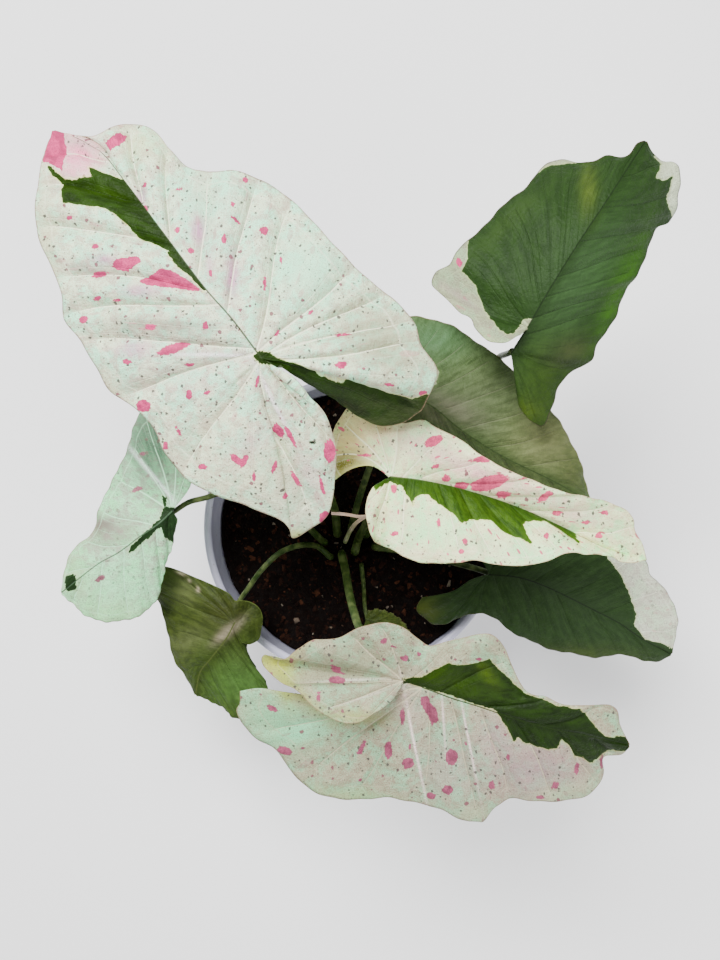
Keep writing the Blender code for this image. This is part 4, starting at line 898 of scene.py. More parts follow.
def marking_fields(flat, which, finish):
    """How far in mm flat points lie inside the sectors and patches, with scars and washes."""
    ground = -FAR_OUT if finish.ground == "pale" else FAR_OUT
    green = np.full(flat.shape[:2], ground)
    for side, outline in finish.sectors:
        if side in (which, "both"):
            inside = inside_distance(flat, outline)
            green = np.maximum(green, inside) if ground < 0 else np.minimum(green, -inside)
    pink, scar = np.full(green.shape, -FAR_OUT), np.zeros(green.shape)
    for outline in finish.patches:
        pink = np.maximum(pink, inside_distance(flat, outline))
    for spot in finish.spots:
        pink = np.maximum(pink, (1 - spot_reach(flat, spot)) * min(spot[2], spot[3]))
    for spot in finish.scars:
        scar = np.maximum(scar, 1 - spot_reach(flat, spot))
    fields = {"green": green, "pink": pink, "scar": scar}
    for kind, washes in (("wash", finish.washes), ("inlay", finish.inlays)):
        fields[kind], tone = tinted(flat, washes)
        for channel in range(3):
            fields[f"{kind}_{channel}"] = tone[..., channel]
    return fields


def grid_normals(real):
    """Unit normals of a grid of points, all turned upwards."""
    down, out = np.gradient(real, axis=0), np.gradient(real, axis=1)
    normal = np.cross(down, out)
    normal *= np.sign(np.median(normal[..., 2])) or 1.0
    size = np.linalg.norm(normal, axis=-1, keepdims=True)
    normal = np.where(size > 1e-9, normal / np.maximum(size, 1e-9), [0, 0, 1])
    normal[:, 0] = normal[:, 1]
    return normal


def half_blade(blade, side, which, finish, looks):
    """One side of a blade with its relief and each field that its colours need."""
    rib, station, s, t, drawn = side_grid(blade, side, finish)
    real = place(drawn) / MM
    flat = drawn[..., :2]
    number = vein_numbers(s, t, finish.veins[0 if which == "left" else 1])
    across = np.linalg.norm(np.gradient(real, axis=0), axis=-1)
    per_number = np.maximum(np.abs(np.gradient(number, axis=0)), 1e-6)
    spoke = np.linalg.norm(real[:, -1] - real[:, 0], axis=-1)[:, None]
    fields = {"edge": (1 - t) * spoke, "rib": t * spoke, "number": number,
              "spread": np.clip(across / per_number, 0.0, WIDEST_CELL),
              "x": flat[..., 0] / CHART, "y": flat[..., 1] / CHART,
              "out": np.broadcast_to(t, number.shape), **marking_fields(flat, which, finish)}
    relief = blade_relief(s, t, flat, fields, finish, looks)
    return HalfBlade(rib, station, real, relief, grid_normals(real), fields)


def upper_sheet(sides, stations, columns):
    """Both sides as one sheet that shares the midrib. vertex_of gives each corner's vertex."""
    rib_normal = np.zeros((stations + 1, 3))
    for side in sides:
        np.add.at(rib_normal, side.station, side.normal[:, 0])
    rib_normal[-1] = rib_normal[-2]
    rib_normal[np.linalg.norm(rib_normal, axis=1) < 1e-6] = (0, 0, 1)
    rib_normal /= np.linalg.norm(rib_normal, axis=1, keepdims=True)
    points, normals = [place(sides[0].rib) / MM], [rib_normal]
    vertex_of, fields, quads = [], {}, []
    vertex_count, corner_count = stations + 1, 0
    for turned, side in enumerate(sides):
        rows = len(side.station)
        own = vertex_count + np.arange(rows * columns).reshape(rows, columns)
        points.append((side.real + side.relief[..., None] * side.normal)[:, 1:].reshape(-1, 3))
        normals.append(side.normal[:, 1:].reshape(-1, 3))
        vertices = np.concatenate([side.station[:, None], own], axis=1)
        tip = np.full((1, columns + 1), stations)
        vertex_of.append(np.vstack([vertices, tip]).reshape(-1))
        size = (rows + 1) * (columns + 1)
        corner = corner_count + np.arange(size).reshape(rows + 1, columns + 1)
        around = [corner[:-1, :-1], corner[:-1, 1:], corner[1:, 1:], corner[1:, :-1]]
        if turned:
            around.reverse()
        quads.append(np.stack([c.reshape(-1) for c in around], axis=1))
        for key, grid in side.fields.items():
            fields.setdefault(key, []).append(np.vstack([grid, grid[-1:]]).reshape(-1))
        vertex_count += rows * columns
        corner_count += size
    points, vertex_of, quads = np.vstack(points), np.concatenate(vertex_of), np.vstack(quads)
    if np.sum(quad_heights(points[vertex_of[quads]])) < 0:
        quads = quads[:, ::-1]
    fields = {key: np.concatenate(parts) for key, parts in fields.items()}
    return Sheet(points, np.vstack(normals), vertex_of, fields, quads)


def quad_heights(corners):
    """Twice the flat area of each four-cornered face, signed."""
    a, b = corners[:, 2] - corners[:, 0], corners[:, 3] - corners[:, 1]
    return a[:, 0] * b[:, 1] - a[:, 1] * b[:, 0]


def sheet_faces(sheet):
    """The sheet's faces as lists of corners, and the pairs of corners along its open edge."""
    around = sheet.vertex_of[sheet.quads]
    keep = around != np.roll(around, 1, axis=1)
    faces = [list(row[mask]) for row, mask in zip(sheet.quads, keep) if mask.sum() > 2]
    edges = {}
    for face in faces:
        vertices = sheet.vertex_of[face]
        for k in range(len(face)):
            edges[(vertices[k - 1], vertices[k])] = (face[k - 1], face[k])
    return faces, [pair for ends, pair in edges.items() if (ends[1], ends[0]) not in edges]


def sheet_walls(sheet, looks):
    """Points of the upper and the lower face in mm, thinner at the margin, ribbed below."""
    rib, taper = np.zeros(len(sheet.points)), np.zeros(len(sheet.points))
    rib[sheet.vertex_of] = np.exp(-(sheet.fields["rib"] / looks.midrib_width * MM) ** 2)
    taper[sheet.vertex_of] = np.clip(sheet.fields["edge"] / TAPER_REACH, THINNEST_SHARE, 1.0)
    thin = looks.blade_thickness / MM / 2 * taper
    below = thin + looks.midrib_depth / MM * rib * taper
    return np.vstack([sheet.points + sheet.normals * thin[:, None],
                      sheet.points - sheet.normals * below[:, None]])


def store_fields(mesh, fields, loops, corner_count):
    """Puts the fields on the face corners, for the blade's material to read."""
    local = loops % corner_count
    values = {key: field[local].astype(np.float32) for key, field in fields.items()}
    values["under"] = (loops >= corner_count).astype(np.float32)
    for key in ("green", "pink", "scar", "wash", "inlay", "edge", "rib", "spread", "under"):
        mesh.attributes.new(key, "FLOAT", "CORNER").data.foreach_set("value", values[key])
    opaque = np.ones(len(local), np.float32)
    for kind in ("wash", "inlay"):
        tone = np.stack([*(values[f"{kind}_{channel}"] for channel in range(3)), opaque], axis=1)
        layer = mesh.attributes.new(f"{kind}_tone", "FLOAT_COLOR", "CORNER")
        layer.data.foreach_set("color", tone.reshape(-1))
    for key, pair in (("leaf", ("x", "y")), ("veins", ("number", "out"))):
        place_on = np.stack([values[k] for k in pair], axis=1)
        mesh.uv_layers.new(name=key).data.foreach_set("uv", place_on.reshape(-1))


def build_blade(name, blade, finish, looks):
    """A blade's closed mesh: an upper and a lower sheet joined round the margin."""
    sides = [half_blade(blade, side, which, finish, looks)
             for which, side in (("left", blade.left), ("right", blade.right))]
    sheet = upper_sheet(sides, blade.rows * finish.split, finish.columns)
    faces, open_edge = sheet_faces(sheet)
    count = len(sheet.vertex_of)
    faces += [[corner + count for corner in reversed(face)] for face in faces]
    faces += [[b, a, a + count, b + count] for a, b in open_edge]
    vertex_of = np.concatenate([sheet.vertex_of, sheet.vertex_of + len(sheet.points)])
    inside_box = np.clip(sheet_walls(sheet, looks) * MM, CAD_BOX[0], CAD_BOX[1])
    mesh = bpy.data.meshes.new(name)
    mesh.from_pydata(inside_box.tolist(), [],
                     [[int(vertex_of[corner]) for corner in face] for face in faces])
    store_fields(mesh, sheet.fields, np.array([corner for face in faces for corner in face]), count)
    mesh.shade_smooth()
    mesh.validate()
    return mesh


class Nodes:
    """A short way to add nodes to a tree and to feed them."""

    def __init__(self, tree):
        self.tree = tree

    def node(self, kind, inputs=(), **settings):
        """A node with its settings and, by place or name, its inputs."""
        made = self.tree.nodes.new(kind)
        for key, value in settings.items():
            setattr(made, key, value)
        for place_in, value in dict(inputs).items():
            self.feed(made.inputs[place_in], value)
        return made

    def feed(self, socket, value):
        """Links a socket's value or sets it."""
        if isinstance(value, bpy.types.NodeSocket):
            self.tree.links.new(value, socket)
        elif socket.type == "RGBA":
            socket.default_value = (*value, 1.0)
        else:
            socket.default_value = value

    def math(self, operation, a, b=0.0):
        """One sum on numbers."""
        return self.node("ShaderNodeMath", {0: a, 1: b}, operation=operation).outputs[0]


class Shader(Nodes):
    """A short way to write one material."""

    def __init__(self, name):
        self.material = bpy.data.materials.new(name)
        self.material.use_nodes = True
        super().__init__(self.material.node_tree)
        self.surface = self.tree.nodes["Principled BSDF"].inputs

    def ramp(self, value, low, high, start=0.0, end=1.0):
        """A smooth clamped rise from start to end between low and high."""
        made = self.node("ShaderNodeMapRange", {0: value, 1: low, 2: high, 3: start, 4: end},
                         interpolation_type="SMOOTHSTEP")
        return made.outputs[0]

    def mix(self, share, a, b):
        """Two colours mixed by a share."""
        return self.node("ShaderNodeMix", {0: share, 6: a, 7: b}, data_type="RGBA").outputs[2]

    def noise(self, vector, scale, detail):
        """Cloudy noise from 0 to 1."""
        return self.node("ShaderNodeTexNoise", {0: vector, 2: scale, 3: detail}).outputs[0]

    def cells(self, vector, scale):
        """A cell texture's node."""
        return self.node("ShaderNodeTexVoronoi", {0: vector, 2: scale})

    def attribute(self, name):
        """A number stored on the mesh."""
        return self.node("ShaderNodeAttribute", attribute_name=name).outputs["Fac"]

    def uv(self, name):
        """A UV map's place."""
        return self.node("ShaderNodeUVMap", uv_map=name).outputs[0]

    def parts(self, vector):
        """The three numbers of a place."""
        return self.node("ShaderNodeSeparateXYZ", {0: vector}).outputs

    def stretched(self, vector, factors):
        """A place scaled by three factors."""
        made = self.node("ShaderNodeVectorMath", {0: vector, 1: factors}, operation="MULTIPLY")
        return made.outputs[0]

    def tone(self, name):
        """A colour stored on the mesh."""
        return self.node("ShaderNodeAttribute", attribute_name=name).outputs["Color"]

    def warped(self, vector, scale, amount):
        """A place shaken by noise, so that round marks lose their roundness."""
        shake = self.node("ShaderNodeTexNoise", {0: vector, 2: scale, 3: 2.0}).outputs[1]
        shake = self.node("ShaderNodeVectorMath", {0: shake, 1: (0.5, 0.5, 0.5)},
                          operation="SUBTRACT").outputs[0]
        shake = self.stretched(shake, (amount, amount, 0.0))
        return self.node("ShaderNodeVectorMath", {0: vector, 1: shake}).outputs[0]

    def paint(self, tone, roughness, gloss=None):
        """Gives the surface its colour and roughness and, where it isn't the usual one, gloss."""
        self.feed(self.surface["Base Color"], tone)
        self.feed(self.surface["Roughness"], roughness)
        if gloss is not None:
            self.feed(self.surface["Specular IOR Level"], gloss)

    def bump(self, height, distance, strength=1.0):
        """Fine relief on the shading alone."""
        made = self.node("ShaderNodeBump", {"Height": height, "Distance": distance,
                                            "Strength": strength})
        self.feed(self.surface["Normal"], made.outputs[0])


def darker(tone, share):
    """A colour times a share, no brighter than paper."""
    return tuple(min(0.95, share * c) for c in tone)


def speckles(s, place_on, scale, rarity, size):
    """Scattered flecks: some cells of the given scale hold one, of a varied size."""
    cell = s.cells(place_on, scale)
    chance = s.node("ShaderNodeSeparateColor", {0: cell.outputs["Color"]}).outputs[0]
    reach = s.ramp(chance, rarity, 1.0, 0.55 * size, size)
    fleck = s.ramp(s.math("SUBTRACT", reach, cell.outputs["Distance"]), *FLECK_EDGE)
    return s.math("MULTIPLY", fleck, s.ramp(chance, rarity, rarity + 0.01))


def vein_lines(s, looks):
    """Main veins, finer ones between them and the vein along the margin, each from 0 to 1."""
    number, out = s.parts(s.uv("veins"))[:2]
    spread, edge = s.attribute("spread"), s.attribute("edge")
    fade = s.ramp(out, 0.84, 0.93, 1.0, 0.0)
    away = s.math("MULTIPLY", s.math("PINGPONG", number, 0.5), spread)
    width = s.math("SUBTRACT", 0.62, s.math("MULTIPLY", out, 0.35))
    main = s.ramp(s.math("DIVIDE", away, width), 0.35, 1.1, 1.0, 0.0)
    between = s.math("PINGPONG", s.math("ADD", s.math("MULTIPLY", number, 3.0), 0.5), 0.5)
    between = s.math("MULTIPLY", between, s.math("MULTIPLY", spread, 0.3333))
    minor = s.math("MULTIPLY", s.ramp(between, 0.05, 0.35, 0.35, 0.0), s.ramp(spread, 7.0, 16.0))
    spoke = s.math("ADD", edge, s.attribute("rib"))
    loop = s.math("SUBTRACT", edge, s.math("MULTIPLY", spoke, looks.collecting_vein))
    loop = s.ramp(s.math("ABSOLUTE", loop), 0.1, 0.55, 0.3, 0.0)
    return s.math("MULTIPLY", main, fade), s.math("MULTIPLY", minor, fade), loop


def leaf_marks(s, finish, looks):
    """The veins, the noises and the painted shade beside each vein that the colours share."""
    flat, along = s.uv("leaf"), s.uv("veins")
    vein, minor, loop = vein_lines(s, looks)
    streak = s.noise(s.stretched(along, STREAK_STRETCH), 2.0, 3.0)
    # Painted shade: darker just past each main vein, broken up by the streaks.
    above = s.math("FRACT", s.parts(along)[0])
    fold = s.math("MULTIPLY", s.ramp(above, 0.04, 0.42, finish.fold, 0.0),
                  s.ramp(streak, 0.35, 0.6, 0.4, 1.0))
    return Marks(vein, minor, loop, streak, s.noise(s.stretched(along, LINE_STRETCH), 1.6, 2.0),
                 s.noise(flat, BROAD_CLOUDS, 3.0), s.noise(flat, CLOUDS, 3.0),
                 s.noise(flat, FINE_CLOUDS, 3.0), s.noise(flat, GRIT, 2.0),
                 s.warped(flat, 70.0, 0.016), fold)


def pale_ground(s, finish, looks, marks):
    """Cream and mint cloud, grain, painted shade past the veins, veins, washes and dark flecks."""
    beige, grit = finish.beige, marks.grit
    pale = s.mix(s.ramp(marks.broad, 0.42, 0.58), finish.pale, finish.mint)
    pale = s.mix(s.ramp(marks.medium, 0.46, 0.62, 0.0, 0.75), pale, beige)
    pale = s.mix(s.ramp(marks.streak, 0.55, 0.72, 0.0, 0.3), pale, darker(beige, 0.9))
    pale = s.mix(s.ramp(marks.fine, 0.50, 0.66, 0.0, 0.45), pale, darker(beige, 0.95))
    pale = s.mix(s.ramp(grit, 0.50, 0.66, 0.0, 0.45), pale, darker(finish.mint, 1.3))
    # Painted shade past each main vein, in darker beige.
    pale = s.mix(marks.fold, pale, darker(beige, 0.75))
    kind = "wash" if finish.ground == "pale" else "inlay"
    share = s.math("MULTIPLY", s.attribute(kind), s.ramp(marks.streak, 0.3, 0.6, 0.8, 1.0))
    pale = s.mix(share, pale, s.tone(f"{kind}_tone"))
    pale = s.mix(s.ramp(grit, 0.34, 0.50, 0.50, 0.0), pale, darker(beige, 0.6))
    line = s.math("MAXIMUM", s.math("MULTIPLY", marks.vein, 0.65),
                  s.math("MULTIPLY", marks.minor, 0.5))
    pale = s.mix(s.math("MAXIMUM", line, marks.loop), pale, darker(finish.pale, 1.3))
    for scale, rarity, size, strength, colour_name in FLECKS:
        fleck = s.math("MULTIPLY", speckles(s, marks.rough, scale, rarity, size),
                       strength * finish.speckle)
        pale = s.mix(fleck, pale, tuple(getattr(looks, colour_name)))
    return pale


def green_ground(s, finish, marks):
    """Streaked green with darker or, on dull leaves, paler veins."""
    tone = s.mix(s.ramp(marks.streak, 0.35, 0.65), finish.dark, finish.green)
    tone = s.mix(s.ramp(marks.lines, 0.45, 0.70, 0.0, 0.5), tone, darker(finish.green, 1.35))
    tone = s.mix(s.ramp(marks.medium, 0.45, 0.75, 0.0, 0.5), tone, finish.dark)
    kind = "wash" if finish.ground == "green" else "inlay"
    streaked = s.mix(s.ramp(marks.streak, 0.35, 0.65, 0.35, 0.0), s.tone(f"{kind}_tone"),
                     finish.dark)
    tone = s.mix(s.attribute(kind), tone, streaked)
    of_veins = darker(finish.dark, 0.6) if finish.vein > 0 else finish.beige
    share = abs(finish.vein)
    line = s.math("MAXIMUM", s.math("MULTIPLY", marks.vein, share),
                  s.math("MULTIPLY", marks.minor, share))
    return s.mix(line, tone, of_veins)


def pink_patches(s, finish, marks):
    """The share of pink, in patches and in dashes along the veins, and its mottled tone."""
    patch = s.math("ADD", s.attribute("pink"), s.math("MULTIPLY", marks.fine, 1.6))
    patch = s.math("ADD", patch, s.math("MULTIPLY", marks.lines, 1.2))
    patch = s.ramp(s.math("SUBTRACT", patch, 1.35), -0.1, 0.18)
    dashes = speckles(s, s.stretched(s.uv("veins"), (6.0, 6.0, 1.0)), *DASHES)
    patch = s.math("MAXIMUM", patch, s.math("MULTIPLY", dashes, finish.streaks))
    pink = s.mix(s.ramp(marks.lines, 0.35, 0.65), finish.pink, darker(finish.pink, 1.2))
    pink = s.mix(s.ramp(marks.grit, 0.45, 0.65, 0.0, 0.6), pink, darker(finish.pink, 0.55))
    pink = s.mix(s.ramp(marks.medium, 0.42, 0.62, 0.0, 0.6), pink, darker(finish.pink, 0.5))
    return patch, pink


def leaf_material(name, finish, looks):
    """A variegated blade: two grounds, pink patches, washes, flecks, veins and margin."""
    s = Shader(f"leaf_{name}")
    marks = leaf_marks(s, finish, looks)
    rib_reach = s.attribute("rib")
    ragged = s.math("ADD", marks.fine, s.math("MULTIPLY", marks.streak, 2.4))
    sector = s.math("ADD", s.attribute("green"), s.math("SUBTRACT", ragged, 1.7))
    green = s.ramp(sector, -0.12, 0.15)

    patch, pink = pink_patches(s, finish, marks)
    pale = s.mix(patch, pale_ground(s, finish, looks, marks), pink)
    pale = s.mix(s.ramp(sector, -0.8, -0.25, 0.0, 0.5), pale, finish.halo)
    leafy = green_ground(s, finish, marks)
    leafy = s.mix(s.ramp(sector, 0.2, 1.3, 0.4, 0.0), leafy, darker(finish.green, 1.5))
    leafy = s.mix(s.ramp(rib_reach, 0.5, 7.0, 0.55, 0.0), leafy, finish.dark)

    tone = s.mix(green, pale, leafy)
    tone = s.mix(s.ramp(rib_reach, 0.2, 0.5, 0.9, 0.0), tone, finish.rib)
    border = s.math("MULTIPLY", s.ramp(s.attribute("edge"), 0.1, 0.55, 0.8, 0.0),
                    s.ramp(marks.fine, 0.3, 0.5))
    tone = s.mix(border, tone, finish.edge)
    tone = s.mix(s.ramp(s.attribute("scar"), 0.0, 0.3), tone, SCAR)
    below = tuple(0.5 * (a + b) for a, b in zip(finish.green, UNDERSIDE))
    tone = s.mix(s.math("MULTIPLY", s.attribute("under"), 0.35), tone, below)

    s.paint(tone, s.ramp(green, 0.0, 1.0, 0.55, 0.48), LEAF_GLOSS)
    height = s.math("ADD", marks.fine, s.math("MULTIPLY", marks.grit, 0.3))
    height = s.math("ADD", height, s.math("MULTIPLY", marks.medium, 0.8))
    height = s.math("SUBTRACT", height, s.math("MULTIPLY", marks.vein, 0.35))
    height = s.math("SUBTRACT", height, s.math("MULTIPLY", marks.minor, 0.5))
    s.bump(height, 0.0006, 0.8)
    return s.material


class Growth(Nodes):
    """A short way to write a Geometry Nodes tree that ends in a painted mesh."""

    def __init__(self, name, sockets):
        super().__init__(bpy.data.node_groups.new(name, "GeometryNodeTree"))
        sides = self.tree.interface
        sides.new_socket("Geometry", in_out="INPUT", socket_type="NodeSocketGeometry")
        for label, kind in [*sockets, ("Material", "NodeSocketMaterial")]:
            sides.new_socket(label, in_out="INPUT", socket_type=kind)
        sides.new_socket("Geometry", in_out="OUTPUT", socket_type="NodeSocketGeometry")
        self.given = self.tree.nodes.new("NodeGroupInput").outputs
        self.result = self.tree.nodes.new("NodeGroupOutput").inputs[0]

    def capture(self, geometry, name, value):
        """Keeps a number on the geometry while later nodes change it."""
        made = self.tree.nodes.new("GeometryNodeCaptureAttribute")
        made.capture_items.new("FLOAT", name)
        self.feed(made.inputs[0], geometry)
        self.feed(made.inputs[1], value)
        return made.outputs[0], made.outputs[1]

    def store(self, geometry, name, value, domain="POINT"):
        """Stores a number on the geometry for the material to read."""
        made = self.node("GeometryNodeStoreNamedAttribute", {0: geometry, 2: name},
                         data_type="FLOAT", domain=domain)
        self.feed(made.inputs[3], value)
        return made.outputs[0]

    def end(self, geometry):
        """Makes the copies real and gives them their material."""
        real = self.node("GeometryNodeRealizeInstances", {0: geometry}).outputs[0]
        painted = self.node("GeometryNodeSetMaterial", {0: real, 2: self.given["Material"]})
        self.feed(self.result, painted.outputs[0])
        return self.tree


def new_object(name, data):
    """An object of the given data, in the scene."""
    made = bpy.data.objects.new(name, data)
    bpy.context.scene.collection.objects.link(made)
    return made


def grown_mesh(name, seed):
    """The plain mesh that a seed object's modifier makes. The seed goes."""
    evaluated = seed.evaluated_get(bpy.context.evaluated_depsgraph_get())
    mesh = bpy.data.meshes.new_from_object(evaluated)
    seed.modifiers.clear()
    bpy.data.objects.remove(seed)
    mesh.name = name
    return mesh


def grow(name, data, tree, values):
    """The plain mesh that a tree grows on an object of the given data."""
    seed = new_object(f"{name}_seed", data)
    modifier = seed.modifiers.new(tree.name, "NODES")
    modifier.node_group = tree
    for item in tree.interface.items_tree:
        if item.in_out == "INPUT" and item.name in values:
            modifier[item.identifier] = values[item.name]
    return grown_mesh(name, seed)


def add_piece(name, mesh, replaced):
    """Adds a finished piece that rides on the plant and stands for its solid."""
    piece = new_object(name, mesh)
    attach(piece, BODY)
    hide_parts(replaced)


def path_curve(name, path):
    """A curve along a smooth path through points in metres."""
    curve = bpy.data.curves.new(name, "CURVE")
    curve.dimensions = "3D"
    fine = smooth_curve(path)
    spline = curve.splines.new("POLY")
    spline.points.add(len(fine) - 1)
    for point, at in zip(spline.points, fine):
        point.co = (*at, 1.0)
    return curve


def stem_tree():
    """A tapered round stem. Roll makes its section a spiral that closes in one step."""
    g = Growth("tapered_stem", [
        ("Foot radius", "NodeSocketFloat"), ("Top radius", "NodeSocketFloat"),
        ("Step", "NodeSocketFloat"), ("Sides", "NodeSocketInt"), ("Roll", "NodeSocketFloat")])
    path = g.node("GeometryNodeResampleCurve", {0: g.given["Geometry"], 3: g.given["Step"]},
                  mode="LENGTH").outputs[0]
    path, along = g.capture(path, "along", g.node("GeometryNodeSplineParameter").outputs[0])
    ring = g.node("GeometryNodeCurvePrimitiveCircle", {0: g.given["Sides"], 4: 1.0}).outputs[0]
    ring, around = g.capture(ring, "around", g.node("GeometryNodeSplineParameter").outputs[0])
    reach = g.math("ADD", 1.0, g.math("MULTIPLY", g.given["Roll"], g.math("SUBTRACT", around, 1.0)))
    here = g.node("GeometryNodeInputPosition").outputs[0]
    rolled = g.node("ShaderNodeVectorMath", {0: here, 3: reach}, operation="SCALE").outputs[0]
    ring = g.node("GeometryNodeSetPosition", {0: ring, 2: rolled}).outputs[0]
    radius = g.node("ShaderNodeMapRange", {0: along, 3: g.given["Foot radius"],
                                           4: g.given["Top radius"]}).outputs[0]
    tube = g.node("GeometryNodeCurveToMesh", {0: path, 1: ring, 2: radius, 3: True}).outputs[0]
    tube = g.store(tube, "along", along)
    tube = g.store(tube, "around", around)
    return g.end(tube)


def stem_material(name, foot, top, fleck):
    """A stem that pales from one colour to another, with fine lengthwise lines."""
    s = Shader(name)
    along, around = s.attribute("along"), s.attribute("around")
    place_on = s.node("ShaderNodeTexCoord").outputs["Object"]
    cloud = s.noise(place_on, 260.0, 3.0)
    turn = s.math("MULTIPLY", around, 2 * math.pi)
    ring = s.node("ShaderNodeCombineXYZ", {0: s.math("COSINE", turn), 1: s.math("SINE", turn),
                                           2: s.math("MULTIPLY", along, 1.5)}).outputs[0]
    lines = s.noise(ring, 7.0, 2.0)
    tone = s.mix(s.ramp(along, 0.05, 0.95), foot, top)
    tone = s.mix(s.ramp(cloud, 0.35, 0.75, 0.0, 0.45), tone, fleck)
    tone = s.mix(s.ramp(lines, 0.45, 0.7, 0.0, 0.35), tone, tuple(0.55 * c for c in foot))
    s.paint(tone, s.ramp(cloud, 0.3, 0.7, 0.36, 0.5), STALK_GLOSS)
    s.bump(s.math("ADD", lines, s.math("MULTIPLY", cloud, 0.3)), 0.0002, 0.7)
    return s.material


def out_of_soil(route):
    """A drawn route in metres: upright in its hole, then leaning over to its next points."""
    foot, *rest = place(route)
    bottom = HOLE_BOTTOM + GAP
    upright = [(foot[0], foot[1], z * MM) for z in (bottom, (bottom + HOLE_MOUTH) / 2, HOLE_MOUTH)]
    lean = foot + MOUTH_LEAN * (rest[0] - foot)
    lean[2] = (HOLE_MOUTH + MOUTH_RISE) * MM
    return [*upright, lean, *rest]


def petiole_path(petiole, midrib):
    """A petiole's route in metres, up to its seat just below the blade."""
    first, second = place(midrib[:2])
    seat = first + STALK_INSET * (second - first) - np.array([0, 0, STALK_SEAT * MM])
    return out_of_soil(petiole.route) + [seat - np.array([0, 0, STALK_RISE * MM]), seat]


def soil_height(x, y):
    """Height of the soil in mm: a heap to one side, broken up by bark chips."""
    along = x * math.cos(SOIL_HEAP_TOWARDS) + y * math.sin(SOIL_HEAP_TOWARDS)
    chips = CHIP_RELIEF * noise.noise(Vector((x, y, 0)) / CHIP_SIZE)
    fine = FINE_CHIP_RELIEF * noise.noise(Vector((x, y, 0)) / FINE_CHIP_SIZE + FINE_CHIP_LAYER)
    return SOIL_MEAN_HEIGHT + SOIL_HEAP * along / INNER_RIM_RADIUS + chips + fine


def soil_disc(name, radius_shrink, closed):
    """The soil's surface as rings from the middle out, and its wall and foot if closed."""
    slope = (INNER_RIM_RADIUS - INNER_FOOT_RADIUS) / (POT_HEIGHT - FLOOR_THICKNESS)
    reach = INNER_FOOT_RADIUS + slope * (SOIL_MEAN_HEIGHT - FLOOR_THICKNESS)
    turns = np.linspace(0, 2 * math.pi, POT_TURN_STEPS, endpoint=False)
    mesh = bmesh.new()
    middle = mesh.verts.new((0, 0, soil_height(0, 0) * MM))
    rings = []
    for k in range(1, SOIL_RINGS + 1):
        ring = []
        for turn in turns:
            edge = soil_height(reach * math.cos(turn), reach * math.sin(turn))
            wall = INNER_FOOT_RADIUS + slope * (edge - FLOOR_THICKNESS) - SOIL_CLEARANCE
            radius = (wall - radius_shrink) * k / SOIL_RINGS
            x, y = radius * math.cos(turn), radius * math.sin(turn)
            ring.append(mesh.verts.new((x * MM, y * MM, soil_height(x, y) * MM)))
        rings.append(ring)
    if closed:
        foot = (INNER_FOOT_RADIUS - SOIL_CLEARANCE) * MM
        level = (FLOOR_THICKNESS + GAP) * MM
        rings.append([mesh.verts.new((foot * math.cos(turn), foot * math.sin(turn), level))
                      for turn in turns])
    for k in range(POT_TURN_STEPS):
        step = (k + 1) % POT_TURN_STEPS
        mesh.faces.new((middle, rings[0][k], rings[0][step]))
        for near, far in zip(rings, rings[1:]):
            mesh.faces.new((near[k], far[k], far[step], near[step]))
    if closed:
        mesh.faces.new(reversed(rings[-1]))
    data = bpy.data.meshes.new(name)
    mesh.to_mesh(data)
    mesh.free()
    data.shade_smooth()
    return data


def chip_shapes(looks):
    """A collection of irregular bark chips, each the hull of a few scattered points."""
    shapes = bpy.data.collections.new("chip_shapes")
    draw = np.random.default_rng(looks.seed)
    for k in range(CHIP_SHAPES):
        mesh = bmesh.new()
        for point in draw.normal(size=(CHIP_CORNERS, 3)):
            point /= np.linalg.norm(point)
            mesh.verts.new(Vector(point * np.array(CHIP_PROPORTIONS) * looks.chip_length))
        hull = bmesh.ops.convex_hull(mesh, input=mesh.verts)
        bmesh.ops.delete(mesh, geom=hull["geom_interior"], context="VERTS")
        data = bpy.data.meshes.new(f"chip_{k}")
        mesh.to_mesh(data)
        mesh.free()
        shapes.objects.link(bpy.data.objects.new(f"chip_{k}", data))
    return shapes


def chip_tree():
    """Bark chips strewn over a surface, each with its own turn, size and tone."""
    g = Growth("bark_chips", [("Chips", "NodeSocketCollection"), ("Density", "NodeSocketFloat"),
                              ("Seed", "NodeSocketInt")])
    strewn = g.node("GeometryNodeDistributePointsOnFaces", {0: g.given["Geometry"],
                                                            4: g.given["Density"],
                                                            6: g.given["Seed"]}).outputs[0]
    shapes = g.node("GeometryNodeCollectionInfo",
                    {0: g.given["Chips"], 1: True, 2: True}).outputs[0]
    turn = g.node("FunctionNodeRandomValue", {0: (-CHIP_TILT, -CHIP_TILT, 0.0),
                                                1: (CHIP_TILT, CHIP_TILT, CHIP_TURN), 8: 1},
                  data_type="FLOAT_VECTOR").outputs[0]
    draw = g.node("FunctionNodeRandomValue", {2: 0.0, 3: 1.0, 8: 2}).outputs[1]
    least, span, power = CHIP_SCALE
    size = g.math("ADD", least, g.math("MULTIPLY", span, g.math("POWER", draw, power)))
    placed = g.node("GeometryNodeInstanceOnPoints", {0: strewn, 2: shapes, 3: True, 5: turn,
                                                     6: size}).outputs[0]
    tone = g.node("FunctionNodeRandomValue", {2: 0.0, 3: 1.0, 8: 3}).outputs[1]
    return g.end(g.store(placed, "tone", tone, "INSTANCE"))


